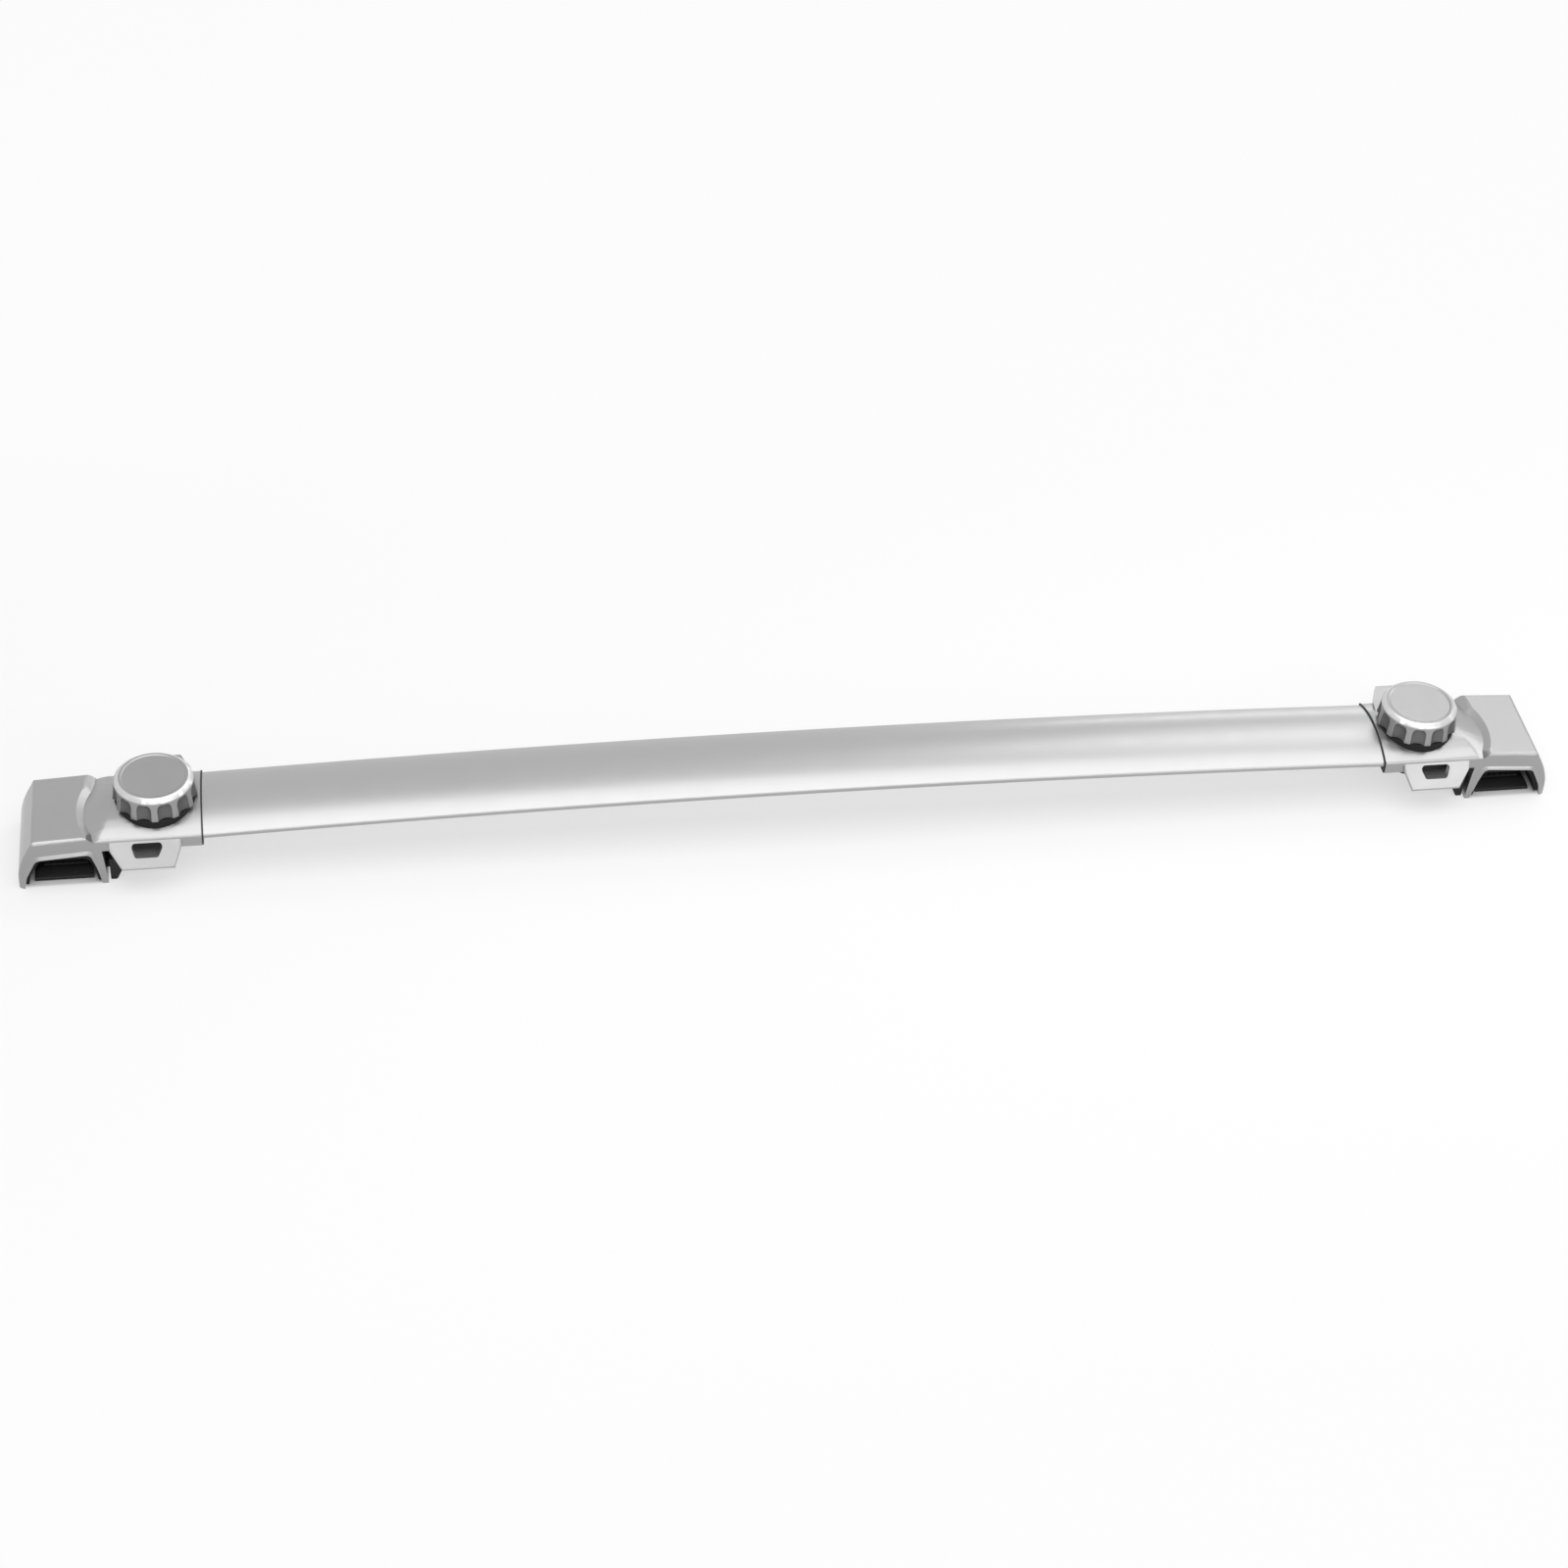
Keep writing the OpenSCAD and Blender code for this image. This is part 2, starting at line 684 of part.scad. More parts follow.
module clamp_jaw(left) {
    arm_half = 15;
    color(black) at_foot(left)
        difference() {
            union() {
                along_y(-jaw_w / 2, jaw_w / 2) jaw_plate_outline();
                toe();
                translate([knob_x, -arm_half, arm_z]) cube([jaw_x1 - jaw_plate_t - knob_x + 1, 2 * arm_half, arm_t]);
                translate([knob_x, 0, arm_z]) cylinder(r = arm_half, h = arm_t, $fn = 96);
            }
            translate([knob_x, 0, 0]) cylinder(r = stud_r + slide_gap, h = far, $fn = 64);
            translate([knob_x, 0, arm_z - 1]) cylinder(d = nut_af / cos(30), h = nut_h + 1, $fn = 6);
            for (side = [-1, 1]) {
                translate([peg_x, side * peg_y, 0]) cylinder(r = peg_r + slide_gap, h = far, $fn = 48);
            }
        }
}

module jaw_nut(left) {
    color(zinc) at_foot(left) translate([knob_x, 0, arm_z])
        difference() {
            cylinder(d = nut_af / cos(30), h = nut_h, $fn = 6);
            translate([0, 0, -1]) cylinder(r = stud_r + run_gap, h = nut_h + 2, $fn = 64);
        }
}

// Ribbed rubber on the toe
module jaw_grip(left) {
    grip_x0 = head_x0 + 4;
    grip_x1 = head_x1 - 7;
    grip_w = head_w - 18;
    grooves = 6;
    step = (grip_x1 - grip_x0) / (grooves + 1);
    color(rubber) at_foot(left)
        difference() {
            translate([grip_x0, -grip_w / 2, jaw_foot_z + toe_t])
                cube([grip_x1 - grip_x0, grip_w, grip_t]);
            for (i = [1 : grooves]) {
                translate([grip_x0 + i * step - 0.6, -far / 2, jaw_foot_z + toe_t + grip_t - 0.8])
                    cube([1.2, far, 2]);
            }
        }
}

// Helical return spring, swept as rings of points about the stud
module return_spring(left) {
    sides = 6;
    per_turn = 16;
    wire_r = wire_d / 2;
    z0 = arm_z + arm_t;
    rise = floor_z - z0 - wire_d;
    rings = round(spring_turns * per_turn);
    points = [
        for (i = [0 : rings], k = [0 : sides - 1])
            let (a = 360 * i / per_turn, b = 360 * k / sides + 30)
            [
                (spring_r + wire_r * cos(b)) * cos(a),
                (spring_r + wire_r * cos(b)) * sin(a),
                z0 + wire_r + rise * i / rings + wire_r * sin(b)
            ]
    ];
    walls = [
        for (i = [0 : rings - 1], k = [0 : sides - 1])
            let (p = i * sides + k, q = i * sides + (k + 1) % sides)
            [p, p + sides, q + sides, q]
    ];
    first = [for (k = [0 : sides - 1]) k];
    last = [for (k = [sides - 1 : -1 : 0]) rings * sides + k];
    color(zinc) at_foot(left) translate([knob_x, 0, 0])
        polyhedron(points = points, faces = concat(walls, [first], [last]));
}

bar();
foot_housing(true);  // foot_housing_left
foot_housing(false);  // foot_housing_right
seam_gasket(true);  // seam_gasket_left
seam_gasket(false);  // seam_gasket_right
base_plate(true);  // base_plate_left
base_plate(false);  // base_plate_right
rail_liner(true);  // rail_liner_left
rail_liner(false);  // rail_liner_right
bar_screws();
base_screws();
knob(true);  // knob_left
knob(false);  // knob_right
clamp_stud(true);  // clamp_stud_left
clamp_stud(false);  // clamp_stud_right
knob_washer(true);  // knob_washer_left
knob_washer(false);  // knob_washer_right
stud_clip(true);  // stud_clip_left
stud_clip(false);  // stud_clip_right
clamp_jaw(true);  // clamp_jaw_left
clamp_jaw(false);  // clamp_jaw_right
jaw_nut(true);  // jaw_nut_left
jaw_nut(false);  // jaw_nut_right
jaw_grip(true);  // jaw_grip_left
jaw_grip(false);  // jaw_grip_right
return_spring(true);  // return_spring_left
return_spring(false);  // return_spring_right
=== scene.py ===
"""Silver roof rack crossbar: finishes, worked pieces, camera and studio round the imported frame."""
import logging
import math
from dataclasses import dataclass, field
from enum import Enum
from typing import Any, List, Optional, Tuple, Union

import bmesh
import bpy
from mathutils import Matrix, Vector


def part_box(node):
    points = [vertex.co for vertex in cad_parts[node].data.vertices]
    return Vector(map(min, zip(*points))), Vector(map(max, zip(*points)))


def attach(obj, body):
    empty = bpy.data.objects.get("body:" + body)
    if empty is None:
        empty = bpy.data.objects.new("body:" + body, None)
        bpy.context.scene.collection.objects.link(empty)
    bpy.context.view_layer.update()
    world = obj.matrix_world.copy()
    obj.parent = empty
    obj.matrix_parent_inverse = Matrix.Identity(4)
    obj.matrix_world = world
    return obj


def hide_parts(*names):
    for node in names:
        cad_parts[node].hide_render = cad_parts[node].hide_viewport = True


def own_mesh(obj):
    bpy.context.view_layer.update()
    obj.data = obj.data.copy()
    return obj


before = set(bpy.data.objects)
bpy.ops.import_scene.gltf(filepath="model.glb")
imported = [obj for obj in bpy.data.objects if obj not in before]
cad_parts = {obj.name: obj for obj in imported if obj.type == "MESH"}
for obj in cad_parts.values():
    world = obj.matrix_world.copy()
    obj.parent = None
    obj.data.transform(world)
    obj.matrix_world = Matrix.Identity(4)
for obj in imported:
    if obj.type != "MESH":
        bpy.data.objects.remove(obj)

log = logging.getLogger("crossbar")

Point = Tuple[float, float]
Triple = Tuple[float, float, float]
SocketInput = Union["Socket", float, Tuple[float, ...]]

MM = 0.001
TOUCH = 0.002 * MM
SMOOTH = math.radians(32.0)
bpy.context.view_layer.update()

# A knob's sizes in millimetres, which its shape and its finish share. Its side stands on a round
# rim and leans in by the taper, and the face lies inside a chamfer.
KNOB_X = 475.0
KNOB_R = 30.5
KNOB_FACE_R = 25.0
KNOB_SIDE_Z = 51.3
KNOB_SIDE_H = 14.6
KNOB_TAPER = 0.13


class Side(Enum):
    """The two feet, with the sign of X that each lies on."""

    LEFT = -1
    RIGHT = 1

    def node(self, stem: str) -> str:
        """Name of this side's CAD node."""
        return f"{stem}_{self.name.lower()}"

    @property
    def knob_body(self) -> str:
        """Body that turns with this side's knob."""
        return f"knob_{self.name.lower()}"

    @property
    def jaw_body(self) -> str:
        """Body that lifts with this side's jaw."""
        return f"jaw_{self.name.lower()}"


class Socket:
    """A shader socket that takes part in Python expressions."""

    def __init__(self, shader: "Shader", output: bpy.types.NodeSocket) -> None:
        """Keeps the shader that the socket belongs to."""
        self.shader = shader
        self.output = output

    def _math(self, operation: str, a: SocketInput, b: SocketInput, clamp: bool = False) -> "Socket":
        """Adds one Math node."""
        settings = {"operation": operation, "use_clamp": clamp}
        return self.shader.node("ShaderNodeMath", settings, {0: a, 1: b})

    def __add__(self, other: SocketInput) -> "Socket":
        """Sum."""
        return self._math("ADD", self, other)

    def __radd__(self, other: SocketInput) -> "Socket":
        """Sum with a number on the left."""
        return self._math("ADD", other, self)

    def __sub__(self, other: SocketInput) -> "Socket":
        """Difference."""
        return self._math("SUBTRACT", self, other)

    def __rsub__(self, other: SocketInput) -> "Socket":
        """Difference with a number on the left."""
        return self._math("SUBTRACT", other, self)

    def __mul__(self, other: SocketInput) -> "Socket":
        """Product."""
        return self._math("MULTIPLY", self, other)

    def __rmul__(self, other: SocketInput) -> "Socket":
        """Product with a number on the left."""
        return self._math("MULTIPLY", other, self)

    def __truediv__(self, other: SocketInput) -> "Socket":
        """Quotient."""
        return self._math("DIVIDE", self, other)

    def __pow__(self, other: SocketInput) -> "Socket":
        """Power."""
        return self._math("POWER", self, other)

    def __abs__(self) -> "Socket":
        """Size without its sign."""
        return self._math("ABSOLUTE", self, 0.0)

    def most(self, other: SocketInput) -> "Socket":
        """Greater of two."""
        return self._math("MAXIMUM", self, other)

    def clamped(self) -> "Socket":
        """Kept between 0 and 1."""
        return self._math("ADD", self, 0.0, clamp=True)


class Shader:
    """Node tree of a material or a world, built up node by node."""

    def __init__(self, owner: Union[bpy.types.Material, bpy.types.World], surface: str = "Principled BSDF") -> None:
        """Takes over a new tree.

        Args:
            owner: new material or world.
            surface: name of the node that stands for its surface.
        """
        self.owner = owner
        self.owner.use_nodes = True
        self.tree = self.owner.node_tree
        self.surface = self.tree.nodes[surface]

    def node(self, kind: str, settings: dict, inputs: dict, output: Union[int, str] = 0) -> Socket:
        """Adds any node.

        Args:
            kind: Blender's type of the node.
            settings: properties of the node, set before its sockets.
            inputs: values or links of its sockets, by name or number.
            output: the socket that comes back.

        Returns:
            The chosen output.
        """
        made = self.tree.nodes.new(kind)
        for key, value in settings.items():
            setattr(made, key, value)
        for key, value in inputs.items():
            self.feed(made.inputs[key], value)
        return Socket(self, made.outputs[output])

    def feed(self, target: bpy.types.NodeSocket, value: Any) -> None:
        """Links or sets one socket.

        Args:
            target: socket that takes the value.
            value: Socket to link, or a constant.
        """
        if isinstance(value, Socket):
            self.tree.links.new(value.output, target)
        else:
            target.default_value = value

    def set(self, **sockets: Any) -> None:
        """Sets sockets of the surface, with underscores for spaces in their names."""
        for key, value in sockets.items():
            self.feed(self.surface.inputs[key.replace("_", " ")], value)

    def place(self, scale: Triple = (1.0, 1.0, 1.0)) -> Socket:
        """Object coordinates, stretched by scale."""
        here = self.node("ShaderNodeTexCoord", {}, {}, "Object")
        return self.node("ShaderNodeMapping", {}, {"Vector": here, "Scale": scale})

    def axis(self, name: str) -> Socket:
        """One Object coordinate, in metres."""
        return self.node("ShaderNodeSeparateXYZ", {}, {"Vector": self.place()}, name)

    def background_ray(self) -> Socket:
        """Marks the rays that see the background.

        Returns:
            1 for camera, glossy and transmission rays, otherwise 0.
        """
        kinds = ("Is Camera Ray", "Is Glossy Ray", "Is Transmission Ray")
        camera, glossy, through = (self.node("ShaderNodeLightPath", {}, {}, kind) for kind in kinds)
        return (camera + glossy + through).clamped()

    def noise(self, scale: float, detail: float = 2.0, rough: float = 0.5, vector: Optional[Socket] = None) -> Socket:
        """Adds a noise texture.

        Args:
            scale: cycles per metre.
            detail: number of finer layers.
            rough: weight of the finer layers.
            vector: coordinates, or none for the object's own.

        Returns:
            Its factor.
        """
        here = vector if vector is not None else self.place()
        sockets = {"Vector": here, "Scale": scale, "Detail": detail, "Roughness": rough}
        return self.node("ShaderNodeTexNoise", {}, sockets, "Fac")

    def mix(self, factor: SocketInput, a: Any, b: Any, blend: str = "MIX") -> Socket:
        """Colour a, mixed with colour b or blended with it in another way."""
        settings = {"data_type": "RGBA", "blend_type": blend}
        return self.node("ShaderNodeMix", settings, {"Factor": factor, 6: a, 7: b}, 2)

    def darken(self, factor: SocketInput, a: Any, b: Any) -> Socket:
        """Colour a multiplied by colour b."""
        return self.mix(factor, a, b, "MULTIPLY")

    def bump(self, height: Socket, strength: float, distance: float) -> None:
        """Feeds a height to the surface's normal."""
        settings = {"Height": height, "Strength": strength, "Distance": distance}
        self.set(Normal=self.node("ShaderNodeBump", {}, settings, "Normal"))


def grey(level: float) -> Tuple[float, float, float, float]:
    """Neutral colour of a linear level."""
    return (level, level, level, 1.0)


@dataclass(frozen=True)
class SilverPaint:
    """Metallic silver paint: fine flake, a little orange peel and slow tone changes.

    Args:
        name: slot of the record.
        level: reflectance of the paint.
        metallic: share of the flake in the look.
        roughness: middle of its roughness.
        peel: orange peel, in cycles per metre.
        drawn: stretch of the die lines under the paint.
        lines: depth of those lines, 0 on a moulded piece.
        fluted: whether it is a knob's, whose flutes are dull and darkened by painted shade, and whose chamfer is
            lightened by a painted highlight.
    """

    name: str
    level: float = 0.42
    metallic: float = 0.82
    roughness: float = 0.34
    peel: float = 420.0
    drawn: Triple = (1.0, 1.0, 1.0)
    lines: float = 0.0
    fluted: bool = False

    FLAKE = 5200.0
    DRIFT = 0.022
    # Painted shade: share of the colour left in a knob's flutes. Painted highlight: level of its chamfer ring.
    FLUTE_PAINTED_SHADE = 0.42
    RING_PAINTED_HIGHLIGHT = 0.62

    def build(self) -> bpy.types.Material:
        """Makes the material.

        Returns:
            The painted finish.
        """
        s = Shader(bpy.data.materials.new(self.name))
        flake = s.noise(self.FLAKE, 1.0)
        cloud = s.noise(14.0, 3.0, 0.6, s.place(self.drawn))
        tone = s.mix(cloud, grey(self.level - self.DRIFT), grey(self.level + self.DRIFT))
        colour = s.darken(0.5, tone, s.mix(flake, grey(0.86), grey(1.14)))
        rough = s.noise(60.0, 4.0, 0.6) * 0.12 + (self.roughness - 0.06)
        # A knob's flutes get painted shade and more roughness, and its chamfer gets a painted highlight.
        if self.fluted:
            flutes, ring = self.flute_shade_mask(s), self.chamfer_highlight_mask(s)
            colour = s.darken(flutes, colour, grey(self.FLUTE_PAINTED_SHADE))
            colour = s.mix(ring, colour, grey(self.RING_PAINTED_HIGHLIGHT))
            rough = rough + flutes * 0.16
        s.set(Base_Color=colour, Metallic=self.metallic, Roughness=rough)
        height = s.noise(self.peel, 2.0) * 0.7 + flake * 0.3
        if self.lines > 0:
            height = height + s.noise(700.0, 3.0, 0.6, s.place(self.drawn)) * self.lines
        s.bump(height, 0.10, 0.0002)
        s.set(Coat_Weight=0.2)
        s.surface.inputs["Coat Roughness"].default_value = 0.14
        return s.owner

    def knob_radius(self, s: Shader) -> Socket:
        """Measures from the axis of the nearer knob.

        Args:
            s: the finish's shader.

        Returns:
            Distance in metres.
        """
        across = abs(s.axis("X")) - KNOB_X * MM
        along = s.axis("Y")
        return (across * across + along * along) ** 0.5

    def chamfer_highlight_mask(self, s: Shader) -> Socket:
        """Marks the chamfer round a knob's face, which the finish lightens as a painted highlight.

        Args:
            s: the finish's shader.

        Returns:
            1 on the chamfer, otherwise 0.
        """
        outside = (self.knob_radius(s) - KNOB_FACE_R * MM) / (0.3 * MM)
        rise = s.axis("Z") - (KNOB_SIDE_Z + KNOB_SIDE_H) * MM
        return outside.clamped() * (rise / (0.4 * MM)).clamped()

    def flute_shade_mask(self, s: Shader) -> Socket:
        """Marks a knob's flutes, which lie inside the cone of its side and below its chamfer, and which the finish
        darkens as painted shade.

        Args:
            s: the finish's shader.

        Returns:
            1 in the flutes, otherwise 0.
        """
        radius = self.knob_radius(s)
        rise = s.axis("Z") - KNOB_SIDE_Z * MM
        inside = (rise * -KNOB_TAPER + (KNOB_R - 0.1) * MM) - radius
        below = (KNOB_SIDE_H * MM - rise) / (0.4 * MM)
        return (inside / (0.5 * MM)).clamped() * below.clamped()


@dataclass(frozen=True)
class Moulding:
    """Moulded plastic or rubber with a fine spark-eroded grain.

    Args:
        name: slot of the record.
        level: reflectance.
        roughness: middle of its roughness.
        grain: cycles of the grain per metre.
        depth: strength of the grain's bump.
        sheen: strength of its highlights.
    """

    name: str
    level: float
    roughness: float
    grain: float = 1500.0
    depth: float = 0.25
    sheen: float = 0.3

    DRIFT = 0.18

    def build(self) -> bpy.types.Material:
        """Makes the material.

        Returns:
            The moulded finish.
        """
        s = Shader(bpy.data.materials.new(self.name))
        low, high = (grey(self.level * share) for share in (1 - self.DRIFT, 1 + self.DRIFT))
        s.set(Base_Color=s.mix(s.noise(35.0, 4.0, 0.65), low, high))
        grain = s.noise(self.grain, 3.0, 0.7)
        s.set(Roughness=grain * 0.18 + (self.roughness - 0.09))
        s.surface.inputs["Specular IOR Level"].default_value = self.sheen
        s.bump(grain, self.depth, 0.0003)
        return s.owner


@dataclass(frozen=True)
class PlatedSteel:
    """Zinc plate or bright wire, with faint cloudy toning and drawn lines.

    Args:
        name: slot of the record.
        level: reflectance.
        tint: how far its clouds lean to blue and to yellow.
        roughness: middle of its roughness.
        drawn: stretch of the drawn lines.
    """

    name: str
    level: float = 0.58
    tint: float = 0.03
    roughness: float = 0.3
    drawn: Triple = (1.0, 1.0, 1.0)

    def build(self) -> bpy.types.Material:
        """Makes the material.

        Returns:
            The plated finish.
        """
        s = Shader(bpy.data.materials.new(self.name))
        cloud = s.noise(90.0, 4.0, 0.6)
        cool = (self.level - self.tint, self.level, self.level + self.tint, 1.0)
        warm = (self.level + self.tint, self.level + self.tint * 0.6, self.level - self.tint, 1.0)
        s.set(Base_Color=s.mix(cloud, cool, warm), Metallic=1.0)
        lines = s.noise(900.0, 2.0, 0.5, s.place(self.drawn))
        s.set(Roughness=lines * 0.16 + (self.roughness - 0.08))
        s.bump(lines, 0.12, 0.0002)
        return s.owner


class Palette:
    """Every finish, made once and looked up by the record's slot."""

    def __init__(self) -> None:
        """Builds the finishes."""
        finishes = {
            "bar_silver": SilverPaint("bar_silver", level=0.405, drawn=(0.02, 1.0, 1.0), lines=0.5),
            "foot_silver": SilverPaint("foot_silver", level=0.36, roughness=0.31, peel=600.0),
            # The knob's finish paints shade into its flutes and a highlight onto its chamfer.
            "knob_silver": SilverPaint("knob_silver", 0.33, 0.75, 0.36, 900.0, fluted=True),
            "seal_rubber": Moulding("seal_rubber", 0.035, 0.7),
            "liner_rubber": Moulding("liner_rubber", 0.012, 0.8, grain=2200.0),
            "black_nylon": Moulding("black_nylon", 0.02, 0.55),
            "black_jaw": Moulding("black_jaw", 0.010, 0.48, grain=900.0, depth=0.35),
            "zinc_steel": PlatedSteel("zinc_steel"),
            "spring_steel": PlatedSteel("spring_steel", level=0.45, tint=0.01, drawn=(1.0, 1.0, 12.0)),
        }
        self.materials = {slot: finish.build() for slot, finish in finishes.items()}

    def dress(self, piece: bpy.types.Object, slot: str) -> None:
        """Puts a finish on a piece."""
        piece.data.materials.clear()
        piece.data.materials.append(self.materials[slot])


def deselect() -> None:
    """Deselects every object."""
    for other in bpy.context.selected_objects:
        other.select_set(False)


def activate(piece: bpy.types.Object) -> None:
    """Makes a piece the only selected one, and active.

    Args:
        piece: object to work on.
    """
    deselect()
    piece.select_set(True)
    bpy.context.view_layer.objects.active = piece


def bridge(work: bmesh.types.BMesh, low: list, high: list) -> None:
    """Joins two closed rings of as many vertices with faces."""
    for corners in zip(low, low[1:] + low[:1], high[1:] + high[:1], high):
        work.faces.new(corners)


def ring_edges(work: bmesh.types.BMesh, ring: list) -> list:
    """Edges round a closed ring of vertices."""
    return [work.edges.get(pair) for pair in zip(ring, ring[1:] + ring[:1])]


def link_mesh(name: str, work: bmesh.types.BMesh) -> bpy.types.Object:
    """Turns a worked mesh into an object of the scene, and makes it active.

    Args:
        name: name of the object and its mesh.
        work: mesh, which is freed.

    Returns:
        The object.
    """
    mesh = bpy.data.meshes.new(name)
    work.to_mesh(mesh)
    work.free()
    piece = bpy.data.objects.new(name, mesh)
    bpy.context.scene.collection.objects.link(piece)
    activate(piece)
    return piece


@dataclass
class WorkedNode:
    """A CAD node's shape worked over: merged, its edges broken, shaded smooth.

    Args:
        node: CAD node that the piece stands for.
        body: body that it rides on.
        slot: finish of the piece.
        edge: width of the broken edges in millimetres, or 0 for none.
        sharp: least angle in degrees of an edge that is broken.
        segments: faces across a broken edge.
        smooth: greatest angle in degrees that is shaded smooth.
    """

    node: str
    body: str
    slot: str
    edge: float = 0.0
    sharp: float = 28.0
    segments: int = 2
    smooth: float = 32.0

    def build(self, palette: Palette) -> bpy.types.Object:
        """Makes the piece and hides the node that it stands for.

        Args:
            palette: the finishes.

        Returns:
            The finished piece.
        """
        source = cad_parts[self.node]
        mesh = source.data.copy()
        mesh.name = f"{self.node}_worked"
        piece = bpy.data.objects.new(mesh.name, mesh)
        bpy.context.scene.collection.objects.link(piece)
        activate(piece)
        if mesh.has_custom_normals:
            bpy.ops.mesh.customdata_custom_splitnormals_clear()
        self._merge(mesh)
        if self.edge > 0:
            self._break_edges(piece)
        bpy.ops.object.shade_smooth_by_angle(angle=math.radians(self.smooth))
        self._even_shading(piece)
        palette.dress(piece, self.slot)
        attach(piece, self.body)
        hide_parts(self.node)
        return piece

    def _merge(self, mesh: bpy.types.Mesh) -> None:
        """Joins the loose triangles and dissolves what lies flat.

        Args:
            mesh: copy of the node's mesh.
        """
        work = bmesh.new()
        work.from_mesh(mesh)
        bmesh.ops.remove_doubles(work, verts=work.verts, dist=TOUCH)
        bmesh.ops.dissolve_degenerate(work, edges=work.edges, dist=TOUCH)
        bmesh.ops.dissolve_limit(work, angle_limit=math.radians(0.6), verts=work.verts, edges=work.edges)
        work.to_mesh(mesh)
        work.free()

    def _even_shading(self, piece: bpy.types.Object) -> None:
        """Weights the normals by face area, so that long flat faces shade flat.

        Args:
            piece: active piece.
        """
        even = piece.modifiers.new("even", "WEIGHTED_NORMAL")
        even.mode = "FACE_AREA"
        even.keep_sharp = True
        bpy.ops.object.modifier_apply(modifier=even.name)

    def _break_edges(self, piece: bpy.types.Object) -> None:
        """Bevels the sharp edges.

        Args:
            piece: active piece.
        """
        bevel = piece.modifiers.new("edges", "BEVEL")
        bevel.width = self.edge * MM
        bevel.segments = self.segments
        bevel.limit_method = "ANGLE"
        bevel.angle_limit = math.radians(self.sharp)
        bevel.use_clamp_overlap = True
        bevel.harden_normals = False
        bpy.ops.object.modifier_apply(modifier=bevel.name)


@dataclass
class Extrusion:
    """The bowed aero bar: its section with three cells, swept along the bow.

    Sizes are in millimetres, and the section is (height, depth) about the nose line.

    Args:
        seam_x: half length up to the collars, which hide the insert.
        depth: section from nose to nose, each a circle of nose_r.
        crown: rise of the upper skin, as belly is the lower one's.
        web_y: depth of the two webs, as thick as the wall.
        bow: rise of the bar's middle over its seams.
        line_z: height of the nose line at the seams.
        stations: steps along the bow.
    """

    seam_x: float = 443.0
    insert: float = 14.0
    depth: float = 70.0
    crown: float = 10.0
    belly: float = 5.0
    nose_r: float = 2.6
    wall: float = 2.0
    web_y: float = 15.0
    bow: float = 7.6
    line_z: float = 38.0
    stations: int = 120

    CROWN_STEPS = 56
    BELLY_STEPS = 40
    NOSE_STEPS = 14
    CELL_STEPS = 20

    @property
    def nose_y(self) -> float:
        """Depth of the nose circles' centres."""
        return self.depth / 2 - self.nose_r

    @property
    def bow_r(self) -> float:
        """Radius of the bow."""
        return (self.seam_x ** 2 + self.bow ** 2) / (2 * self.bow)

    def arc_radius(self, rise: float) -> float:
        """Radius of a skin that rises above the nose line and meets the nose circles."""
        return (self.nose_y ** 2 + rise ** 2 - self.nose_r ** 2) / (2 * (rise - self.nose_r))

    def skin(self, y: float, rise: float, inset: float) -> float:
        """Height of a skin, seen as rising, at a depth, moved in by inset."""
        r = self.arc_radius(rise)
        return rise - r + math.sqrt((r - inset) ** 2 - y * y)

    def outline(self) -> List[Point]:
        """Draws the outer outline, from the front nose over the crown and back.

        Returns:
            (height, depth) points.
        """
        points = []
        for rise, sign, steps in ((self.crown, 1, self.CROWN_STEPS), (self.belly, -1, self.BELLY_STEPS)):
            r = self.arc_radius(rise)
            lean = math.asin(self.nose_y / (r - self.nose_r))
            for k in range(steps + 1):
                turn = lean * (2 * k / steps - 1)
                points.append((sign * (rise - r + r * math.cos(turn)), sign * r * math.sin(turn)))
            top, bottom = (math.asin(self.nose_y / (self.arc_radius(c) - self.nose_r))
                           for c in (rise, self.crown + self.belly - rise))
            first, last = math.pi / 2 - top, bottom - math.pi / 2
            for k in range(1, self.NOSE_STEPS):
                turn = first + (last - first) * k / self.NOSE_STEPS
                height, out = self.nose_r * math.sin(turn), self.nose_y + self.nose_r * math.cos(turn)
                points.append((sign * height, sign * out))
        return points

    def cell(self, y0: float, y1: float) -> List[Point]:
        """Draws one hollow.

        Args:
            y0: depth of one side.
            y1: depth of the other.

        Returns:
            (height, depth) points.
        """
        depths = [y0 + (y1 - y0) * k / self.CELL_STEPS for k in range(self.CELL_STEPS + 1)]
        top = [(self.skin(y, self.crown, self.wall), y) for y in depths]
        bottom = [(-self.skin(y, self.belly, self.wall), y) for y in reversed(depths)]
        return top + bottom

    def cells(self) -> List[List[Point]]:
        """Draws the three hollows.

        Returns:
            Their outlines.
        """
        half = self.wall / 2
        far = self.nose_y - 1
        return [
            self.cell(-self.web_y + half, self.web_y - half),
            self.cell(self.web_y + half, far),
            self.cell(-far, -self.web_y - half),
        ]

    def sweep(self, work: bmesh.types.BMesh, outline: List[Point]) -> Tuple[list, list]:
        """Sweeps one closed outline along the bow.

        Args:
            work: mesh that the tube is added to.
            outline: (height, depth) points.

        Returns:
            The edges of its two end loops.
        """
        half_turn = math.asin((self.seam_x + self.insert) / self.bow_r)
        centre_z = self.line_z + self.bow - self.bow_r
        rings = []
        for station in range(self.stations + 1):
            turn = half_turn * (2 * station / self.stations - 1)
            ring = []
            for height, depth in outline:
                reach = self.bow_r + height
                place = Vector((reach * math.sin(turn), depth, centre_z + reach * math.cos(turn)))
                ring.append(work.verts.new(place * MM))
            rings.append(ring)
        for low, high in zip(rings, rings[1:]):
            bridge(work, low, high)
        return ring_edges(work, rings[0]), ring_edges(work, rings[-1])

